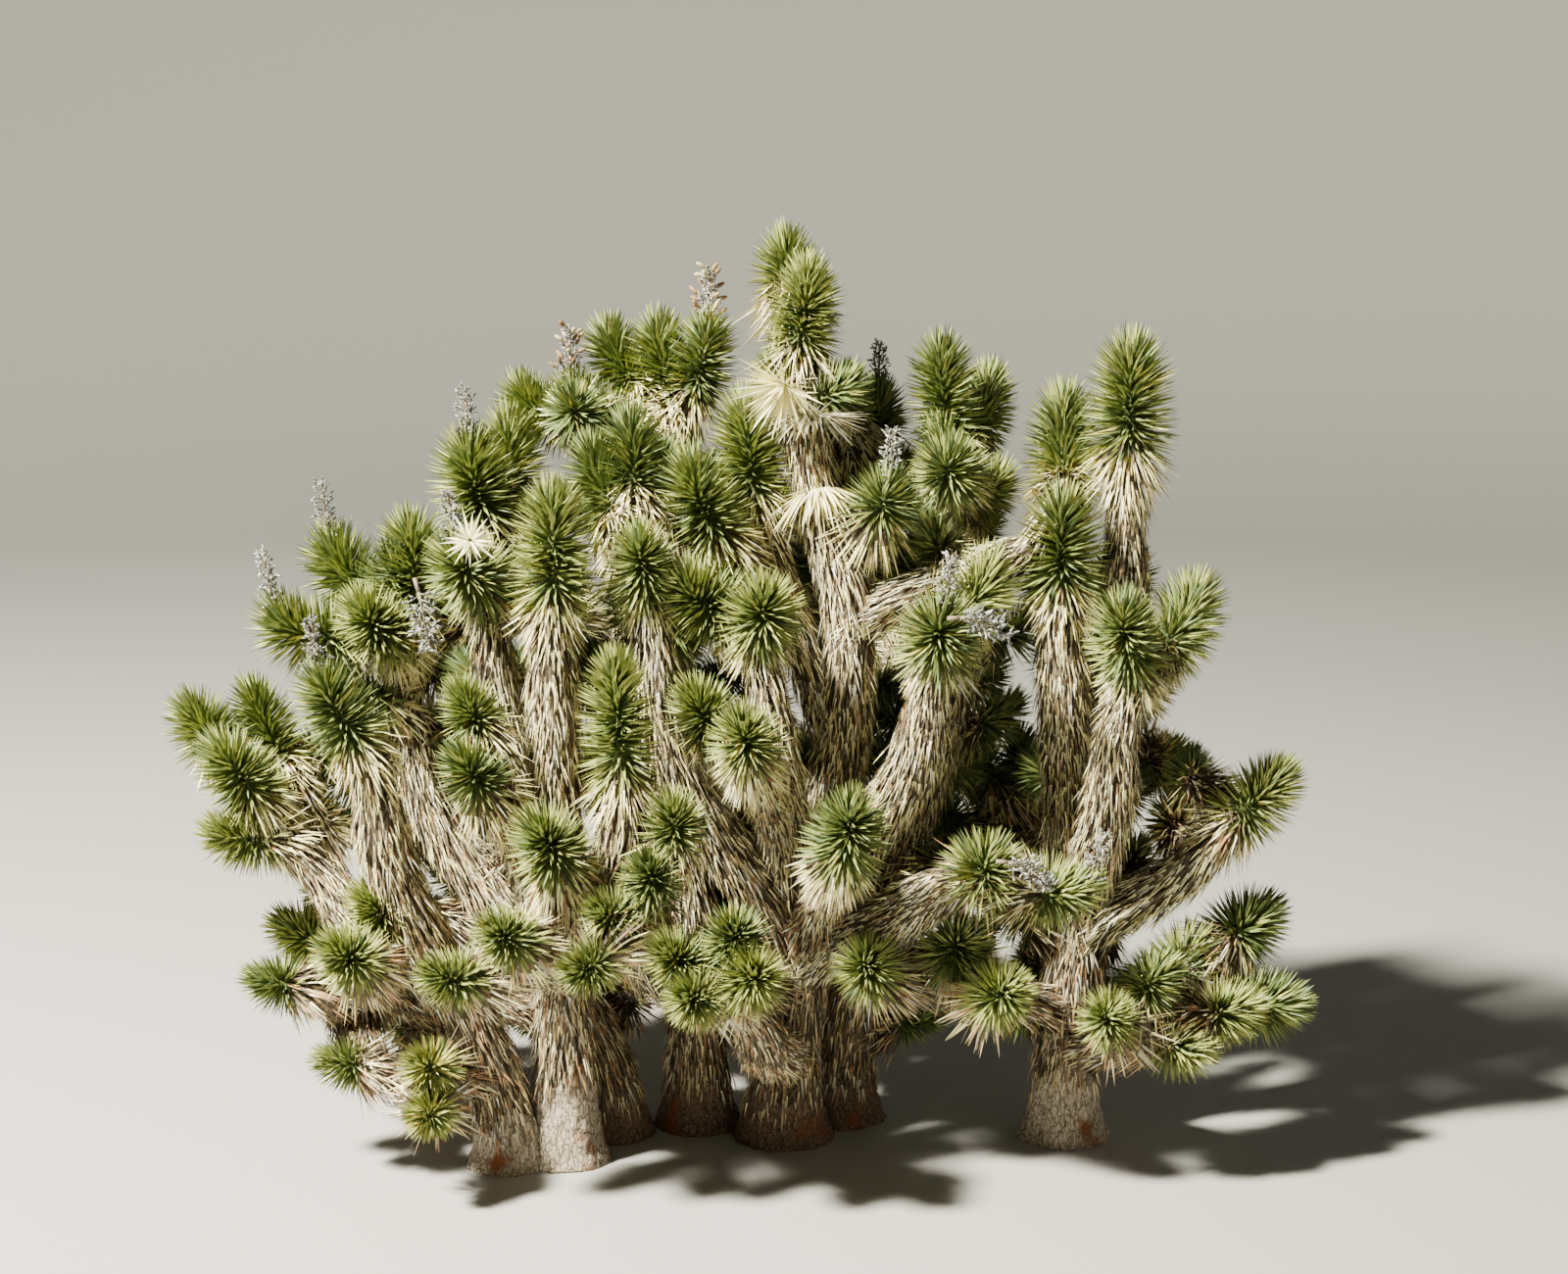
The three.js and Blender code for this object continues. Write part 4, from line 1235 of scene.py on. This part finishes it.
def bark_relief(points):
    """How far bark stands out or falls back at a spot: plates between deep upright fissures."""
    heights = np.empty(len(points))
    for i, point in enumerate(points):
        near, _ = noise.voronoi(Vector(point * PLATE_FINENESS))
        crack = min(1.0, (near[1] - near[0]) * CRACK_SLOPE)
        swell = noise.noise(Vector(point * SWELL_FINENESS))
        grain = noise.noise(Vector(point * GRAIN_FINENESS))
        heights[i] = PLATE_RISE * (crack - CRACK_DEPTH) + SWELL_RISE * swell + GRAIN_RISE * grain
    return heights


def dress_limb(limb, bark, mat):
    """The limb's own surface: fissured bark near the ground, and the core of its thatch above."""
    length = limb.line.length
    rng = np.random.default_rng(LIMB_SEED + limb.number)
    if limb.rooted:
        low = np.linspace(0, (limb.bark + 2 * BARK_FADE) / length, BARK_STATIONS)
        high = np.linspace(low[-1], 1, int(length * (1 - low[-1]) / TRUNK_STEP) + 2)[1:]
        shares = np.concatenate([low, high])
        corners = BARK_CORNERS
    else:
        shares = np.linspace(0, 1, int(length / BOUGH_STEP) + 2)
        corners = CORE_CORNERS
    stations, angles, centres, out = limb.line.rings(shares, corners)
    radii = np.repeat(limb.core(shares), corners)
    ragged = rng.normal(0, CORE_RAGGED, len(radii)) + rippled(angles, stations * length, *CORE_RIPPLES)
    finish = np.zeros(len(radii), int)
    if limb.rooted:
        barky = 1 - smooth(centres[:, 2], limb.bark, limb.bark + BARK_FADE)
        finish = (barky < 0.5 + rippled(angles, limb.number, *BARK_EDGE_RIPPLES)).astype(int)
        skin = moved(centres, out, radii)
        ragged = mix(ragged, 0.0, barky)
        barked = barky > 0
        ragged[barked] += bark_relief(skin[barked]) * barky[barked]
    points = moved(centres, out, radii + ragged)
    if limb.rooted:
        points[:, 2] = np.maximum(points[:, 2], 0)
        points[stations == 0, 2] = 0
    joined = Joined()
    around = limb.core(shares) * 2 * math.pi
    add_rings(joined, points.reshape(len(shares), corners, 3), (around, shares * length), finish)
    if limb.rooted:
        joined.piece("bark_" + limb.name, [bark, mat], "bark", [limb.name], True)
    else:
        joined.piece("core_" + limb.name, [mat], "thatch", [limb.name], True)


def dress_shoot(joined, shoot):
    """The core of a shoot: matted leaf bases below its head, and green bases within it, both in dark tones
    that paint the shade between the leaves.
    """
    below = np.linspace(0, shoot.bare, int(shoot.line.length * shoot.bare / SHOOT_STEP) + 3)
    shares = np.concatenate([below, np.linspace(shoot.bare, 1, HEAD_STATIONS)[1:]])
    corners = SHOOT_CORNERS
    stations, angles, centres, out = shoot.line.rings(shares, corners)
    ragged = 1 + rippled(angles, stations, *SHOOT_RIPPLES)
    points = moved(centres, out, np.repeat(shoot.core(shares), corners) * ragged)
    finish = (shares >= shoot.bare - 1e-6).astype(int)
    around = shoot.core(shares) * 2 * math.pi
    add_rings(joined, points.reshape(len(shares), corners, 3), (around, shares * shoot.line.length), finish)


def grow_green(joined, shoot, filled):
    """A head's green leaves, wound up the shoot from bent-back old ones to upright young ones."""
    rng = np.random.default_rng(GREEN_SEED + shoot.number)
    length = shoot.line.length
    sides = int(LEAVES_PER_METRE * shoot.green)
    count = sides + DOME_LEAVES
    height = np.concatenate([np.linspace(0, 1, sides), np.ones(DOME_LEAVES)])
    inner = np.concatenate([np.zeros(sides), np.linspace(0, 1, DOME_LEAVES)])
    shares = mix(mix(shoot.bare, 1 - DOME_FOOT / length, height), 1 - DOME_TOP / length, inner)
    centres, along, out = wound(rng, shoot.line, shares, GREEN_WINDING)
    roots = moved(centres, out, shoot.core(shares) * GREEN_ROOT)
    flushes = round(shoot.green / FLUSH)
    wave = 2 * math.pi * height * flushes if flushes > 1 else np.full(count, math.pi)
    wide, high = np.cos(np.radians([LEAF_ANGLES[-1], HIGHEST_LEAF]))
    lift = np.interp(height, LEAF_HEIGHTS, LEAF_ANGLES) + FLUSH_ANGLE * np.sin(wave)
    lift = np.where(inner > 0, np.degrees(np.arccos(mix(wide, high, inner))), lift)
    lift = np.radians(lift + rng.normal(0, ANGLE_SPREAD, count))
    ways = swung(along, out, lift)
    backs = upper_sides(ways, along * np.sin(lift)[:, None] - out * np.cos(lift)[:, None])
    ways, backs = turned(rng, ways, backs, LEAF_TURN, LEAF_ROLL)
    size = shoot.scale * shoot.leaf * mix(LOW_HEADS, 1, smooth(shoot.line.at(1)[0][2], *LOW_HEIGHTS))
    lengths = LEAF_LENGTH * size * mix(1.0, YOUNGEST_LEAF, inner) * (FLUSH_MEAN - FLUSH_SIZE * np.cos(wave))
    lengths *= rng.uniform(*LEAF_LONG, count)
    widths = LEAF_WIDTH * size**0.5 * rng.uniform(*LEAF_WIDE, count)
    curve = rng.normal(*LEAF_CURVE, count)
    tips = moved(roots, ways, lengths)
    keep = filled.free(moved(roots, ways, lengths * GREEN_CLEAR), shoot.number)
    keep &= filled.free(tips, shoot.number) & (tips[:, 2] > GREEN_LOWEST)
    draw = rng.random(count) + rng.normal(0, HEAD_TINTS)
    # A lesser head's leaves are drawn deeper green, as painted shade inside the crown.
    draw += 0 if shoot.mass.name else LESSER_PAINTED_SHADE
    finish = np.searchsorted(LIVE_SHARES, draw, side="right")
    aged = OLD_SHARE * (1 - smooth(height, 0.0, OLD_HEIGHT)) + shoot.mass.yellow * rng.random()
    old = rng.random(count) < aged
    finish = np.where(old, rng.choice([YELLOW, PALE_BASE], count, p=OLD_ODDS), finish)
    # The lower part of each leaf is painted with shade, deep green or the painted shade green, where it
    # lies inside the head. An old leaf's lower part stays yellow.
    shade = np.where(old, YELLOW, rng.choice([DEEP_GREEN, PAINTED_SHADE_GREEN], count))
    # A named head's leaves are folded, with two faces across, and a lesser head's are flat.
    if shoot.mass.name:
        fold = LEAF_FOLD
        faces = np.stack([shade, shade, finish, finish], 1)
    else:
        fold = 0
        faces = np.stack([shade, finish], 1)
    add_leaves(joined, keep, roots, ways, backs, lengths, widths, curve, fold, LEAF_STATIONS, faces)


def grow_dead(joined, column, filled):
    """The dead leaves on a column: its thatch, and on a shoot the skirt that hangs below its head."""
    rng = np.random.default_rng(DEAD_SEED + column.number)
    length = column.line.length
    high = mix(column.bare, 1, DEAD_IN_HEAD)
    fine = np.linspace(0, high, DEAD_SPOTS)
    skirt_depth = SKIRT_DEPTH * column.skirt
    below = (column.bare - fine) * length
    skirt = column.skirted * (1 - smooth(below, skirt_depth * SKIRT_FULL, skirt_depth))
    crowd = column.core(fine) * mix(THATCH_PER_AREA, SKIRT_PER_AREA, skirt)
    run = np.concatenate([[0], np.cumsum((crowd[1:] + crowd[:-1]) / 2)])
    count = int(run[-1] / (DEAD_SPOTS - 1) * high * length * 2 * math.pi)
    if count < 4:
        return
    shares = np.interp((np.arange(count) + rng.random(count)) / count * run[-1], run, fine)
    centres, along, out = wound(rng, column.line, shares, DEAD_WINDING)
    roots = moved(centres, out, column.core(shares) * DEAD_ROOT + rng.uniform(0, THATCH_DEPTH, count))
    fresh = column.skirted * (1 - smooth((column.bare - shares) * length, 0.0, skirt_depth))
    tilt = np.radians(mix(THATCH_ANGLE, SKIRT_ANGLE, fresh**SKIRT_AGES) + rng.normal(0, DEAD_SPREAD, count))
    ways = swung(along, out, tilt)
    ways = unit(ways - UP * rng.uniform(0.0, SAG, count)[:, None])
    # A leaf that has sagged into its column is lifted until it stands off again.
    ways = unit(ways - out * np.minimum((ways * out).sum(1) - STAND_OFF, 0)[:, None])
    ways, backs = turned(rng, ways, upper_sides(ways, out), DEAD_TURN, DEAD_ROLL)
    skirt_length = SKIRT_LENGTH * column.skirt * column.leaf
    lengths = mix(DEAD_LENGTH, skirt_length, fresh) * rng.uniform(*DEAD_LONG, count)
    widths = mix(DEAD_WIDTH, SKIRT_WIDTH, fresh) * rng.uniform(*DEAD_WIDE, count)
    curve = rng.normal(*DEAD_CURVE, count)
    keep = filled.free(roots + backs * BACK_CLEAR, column.number)
    keep &= filled.free(moved(roots, ways, lengths * DEAD_CLEAR), column.number)
    keep &= moved(roots, ways, lengths)[:, 2] > DEAD_LOWEST
    if column.rooted:
        keep &= roots[:, 2] > column.bark + BARK_EDGE * BARK_FADE * rng.random(count)
    tone = rng.random(count)
    edges = mix(np.array(column.tones), np.array(YOUNG_SHARES), fresh[:, None])
    # Near the ground the tones turn reddish and darker, partly painted shade.
    edges = mix(np.array(GROUND_SHADED_SHARES), edges, smooth(roots[:, 2:], *column.heights))
    finish = (tone[:, None] > edges).sum(1).clip(0, len(DEAD) - 1)
    # Each dead leaf's lower half is painted with shade, and its upper half has its own tone.
    faces = np.stack([rng.choice(PAINTED_SHADE_TONES, count, p=PAINTED_SHADE_ODDS), finish], 1)
    add_leaves(joined, keep, roots, ways, backs, lengths, widths, curve, 0, DEAD_STATIONS, faces)


def stalk_line(shoot):
    """The line of the dried flower stalk on a head, as on the model."""
    along = shoot.line.along(1)[0]
    foot = shoot.line.at(1)[0] - along * STALK_SUNK
    way = unit(mix(along, UP, 0.5))
    return Line(foot, foot + way * (STALK_SUNK + STALK_HEIGHT * shoot.scale), along, way)


def grow_stalk(stalks, line, size, weights, number):
    """A dried flower stalk: a spire with short branches full of husks. Gives its branch tips and ways."""
    rng = np.random.default_rng(STALK_SEED + number)
    ends = line.at(np.linspace(0, 1, STALK_STRETCHES + 1))
    thick = STALK_RADIUS * 2 * np.linspace(*STALK_TAPER, STALK_STRETCHES)
    tones = np.full(STALK_STRETCHES, STALK_TONE)
    add_spindles(stalks, ends[:-1], ends[1:], thick, STALK_STATIONS, 5, tones)
    shares = np.linspace(*BRANCH_SPAN, STALK_BRANCHES)
    centres, along, out = wound(rng, line, shares, BRANCH_WINDING)
    ways = swung(along, out, np.radians(rng.normal(*BRANCH_ANGLE, STALK_BRANCHES)))
    lengths = size * mix(BRANCH_LONG, BRANCH_SHORT, shares) * rng.uniform(*BRANCH_SIZES, STALK_BRANCHES)
    tips = moved(centres, ways, lengths)
    tones = rng.integers(0, len(STALK), STALK_BRANCHES)
    widths = np.full(STALK_BRANCHES, BRANCH_WIDTH)
    add_spindles(stalks, centres, tips, widths, BRANCH_STATIONS, 3, tones)
    count = STALK_BRANCHES * HUSKS
    along_branch = np.tile(np.linspace(*HUSK_SPAN, HUSKS), STALK_BRANCHES)
    husk_roots = moved(np.repeat(centres, HUSKS, 0), np.repeat(tips - centres, HUSKS, 0), along_branch)
    husk_ways = unit(np.repeat(ways, HUSKS, 0) + rng.normal(0, HUSK_SPREAD, (count, 3)) + UP * HUSK_RISE)
    husk_tips = moved(husk_roots, husk_ways, size * HUSK_LENGTH * rng.uniform(*HUSK_LONG, count))
    widths = size * HUSK_WIDTH * rng.uniform(*HUSK_WIDE, count)
    tones = rng.choice(len(STALK), count, p=weights)
    add_spindles(stalks, husk_roots, husk_tips, widths, HUSK_STATIONS, 4, tones)
    return tips, ways


def grow_pods(pods, tips, ways, number):
    """Ripe seed pods that stand out from the tips of a stalk's branches."""
    rng = np.random.default_rng(POD_SEED + number)
    pick = rng.choice(len(tips), PODS, replace=False)
    lean = unit(ways[pick] + UP * POD_RISE + rng.normal(0, POD_SPREAD, (PODS, 3)))
    ends = moved(tips[pick], lean, POD_LENGTH * rng.uniform(*POD_LONG, PODS))
    tones = rng.integers(0, len(POD), PODS)
    add_spindles(pods, tips[pick], ends, np.full(PODS, POD_WIDTH), POD_STATIONS, 6, tones)


def grow_rosette(joined, row, number):
    """A dead rosette that faces one way, its outer leaves opened wide and its inner ones upright."""
    rng = np.random.default_rng(ROSETTE_SEED + number)
    count = row["leaves"]
    face = unit(np.array(row["facing"]))
    side = unit(np.cross(face, ROSETTE_ASIDE))
    over = np.cross(side, face)
    angles = np.arange(count) * GOLDEN_ANGLE
    out = side * np.cos(angles)[:, None] + over * np.sin(angles)[:, None]
    wide, narrow = np.cos(np.radians(row["open"]))
    tilt = np.arccos(np.linspace(wide, narrow, count)) + rng.normal(0, ROSETTE_SPREAD, count)
    ways = swung(face, out, tilt)
    backs = rolled(rng, ways, face - out * ROSETTE_LEAN, DEAD_ROLL)
    roots = np.array(row["place"]) + out * row["ring"]
    lengths = row["length"] * rng.uniform(*ROSETTE_LONG, count)
    widths = ROSETTE_WIDTH * rng.uniform(*ROSETTE_WIDE, count)
    tones = rng.choice(row["tones"], (count, 2))
    curve = np.full(count, ROSETTE_CURVE)
    keep = np.ones(count, bool)
    add_leaves(joined, keep, roots, ways, backs, lengths, widths, curve, 0, DEAD_STATIONS, tones)


def make_camera():
    """The photograph's view, from 12 m in front and 4.3 m up, looking down by ten degrees."""
    camera = bpy.data.cameras.new("camera")
    camera.sensor_fit = "HORIZONTAL"
    camera.sensor_width = 36
    camera.lens = 36 * FOCAL_PX / PHOTO_WIDTH
    eye = bpy.data.objects.new("camera", camera)
    eye.location = EYE
    eye.rotation_euler = (math.pi / 2 - math.atan2(DROP_PX, FOCAL_PX), 0, 0)
    bpy.context.collection.objects.link(eye)
    bpy.context.scene.camera = eye


def make_floor():
    """A plain pale round floor whose rim rises into a backdrop on all sides."""
    points = [(0, 0, 0)]
    for radius, height in FLOOR_RINGS:
        for i in range(FLOOR_SIDES):
            angle = 2 * math.pi * i / FLOOR_SIDES
            points.append((radius * math.cos(angle), radius * math.sin(angle), height))
    faces = []
    for i in range(FLOOR_SIDES):
        right = (i + 1) % FLOOR_SIDES
        faces.append((0, 1 + i, 1 + right))
        for ring in range(len(FLOOR_RINGS) - 1):
            a = 1 + ring * FLOOR_SIDES
            faces.append((a + i, a + i + FLOOR_SIDES, a + right + FLOOR_SIDES, a + right))
    mesh = bpy.data.meshes.new("floor")
    mesh.from_pydata(points, [], faces)
    mesh.shade_smooth()
    floor = bpy.data.objects.new("floor", mesh)
    bpy.context.collection.objects.link(floor)
    material, _, shader = new_finish("pale_floor", FLOOR_GLOSS)
    shader["Base Color"].default_value = (*FLOOR_COLOUR, 1)
    shader["Roughness"].default_value = FLOOR_DULL
    mesh.materials.append(material)
    floor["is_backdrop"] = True


def make_light():
    """A warm key from the upper left front, a weak fill from the right, and a dim room."""
    for name, (place, size, power, colour) in LAMPS.items():
        lamp = bpy.data.lights.new(name, "AREA")
        lamp.size = size
        lamp.energy = power
        lamp.color = colour
        made = bpy.data.objects.new(name, lamp)
        made.location = place
        made.rotation_euler = (Vector(LAMPS_FACE) - Vector(place)).to_track_quat("-Z", "Y").to_euler()
        made.visible_camera = False
        bpy.context.collection.objects.link(made)
    world = bpy.data.worlds.new("room")
    world.use_nodes = True
    room = world.node_tree.nodes["Background"].inputs
    room["Color"].default_value = (*ROOM_COLOUR, 1)
    room["Strength"].default_value = ROOM_STRENGTH
    bpy.context.scene.world = world


def dress_stem(stem, limbs, shoots, filled, kinds):
    """All that grows on one trunk and its boughs, joined into a piece of each kind."""
    joined = {kind: Joined() for kind in kinds}
    stalks = joined["flower_stalks"]
    dead = joined["dead_leaves"]
    own = [shoot for shoot in shoots if shoot.stem == stem]
    for shoot in own:
        if shoot.stalk:
            weights = WEATHERED_STALK if shoot.number % 3 else PALE_STALK
            tips, ways = grow_stalk(stalks, stalk_line(shoot), 1.0, weights, shoot.number)
            if shoot.mass.name in POD_BEARING:
                grow_pods(joined["pods"], tips, ways, shoot.number)
        dress_shoot(joined["shoots"], shoot)
        grow_green(joined["green_leaves"], shoot, filled)
        grow_dead(dead, shoot, filled)
    for limb in limbs:
        if limb.stem == stem:
            grow_dead(dead, limb, filled)
    for number, row in enumerate(TOPPLED_STALKS):
        if row["stem"] == stem:
            foot = np.array(row["foot"])
            tip = np.array(row["tip"])
            sag = UP * TOPPLED_SAG
            line = Line(foot, tip, unit(tip - foot + sag), unit(tip - foot - sag))
            grow_stalk(stalks, line, row["size"], PALE_STALK, FIRST_TOPPLED + number)
    for number, row in enumerate(DEAD_ROSETTES):
        if row["stem"] == stem:
            grow_rosette(dead, row, number)
    nodes = sorted({shoot.mass.name for shoot in own if shoot.mass.name})
    for kind, (materials, slot, rounded) in kinds.items():
        if joined[kind].count:
            joined[kind].piece(stem.replace("trunk", kind), materials, slot, nodes, rounded)


make_camera()
make_floor()
make_light()

leaf_skin = make_leaf_skin()
fibres = make_fibres()
plates = make_plates()
# The thatch's core and the heads' green bases are painted with the shade between the leaves.
mat = column_finish("thatch_mat", fibres, THATCH_MAT_SHADED, over=THATCH_PATCHES, **MATTED)
bases = column_finish("leaf_bases", fibres, LEAF_BASES_SHADED, over=BASE_PATCHES, **MATTED)
grey_bark = column_finish("grey_bark", plates, GREY_BARK, **BARKY)
# The brown bark of the trunks inside the clump is darker with painted shade.
brown_bark = column_finish("brown_bark", plates, SHADED_BROWN_BARK, **BARKY)
# The kinds of joined pieces: their finishes, their slot, and whether their faces are rounded.
kinds = {
    "flower_stalks": (leaf_finishes(STALK, leaf_skin, *DRY_SHEEN), "stalks", False),
    "pods": (leaf_finishes(POD, leaf_skin, *POD_SHEEN), "pods", True),
    "shoots": ([mat, bases], "thatch", True),
    "green_leaves": (leaf_finishes(LIVE, leaf_skin, *LIVE_SHEEN), "leaves", False),
    "dead_leaves": (leaf_finishes(DEAD, leaf_skin, *DRY_SHEEN), "thatch", False),
}

limbs = list(grow_limbs().values())
shoots = grow_shoots({limb.name: limb for limb in limbs})
columns = [*limbs, *shoots]
for number, column in enumerate(columns):
    column.number = number
filled = Filled(columns)
lesser = grow_lesser_shoots(columns, shoots, filled)
for number, shoot in enumerate(lesser, len(columns)):
    shoot.number = number
    filled.add(shoot)
shoots += lesser

for limb in limbs:
    dress_limb(limb, grey_bark if limb.name in GREY_FEET else brown_bark, mat)
for stem in TRUNKS:
    dress_stem(stem, limbs, shoots, filled, kinds)

boxes = {"cad": CAD_BOX, "visual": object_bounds()}
{name: [list(corner) for corner in box] for name, box in boxes.items()}
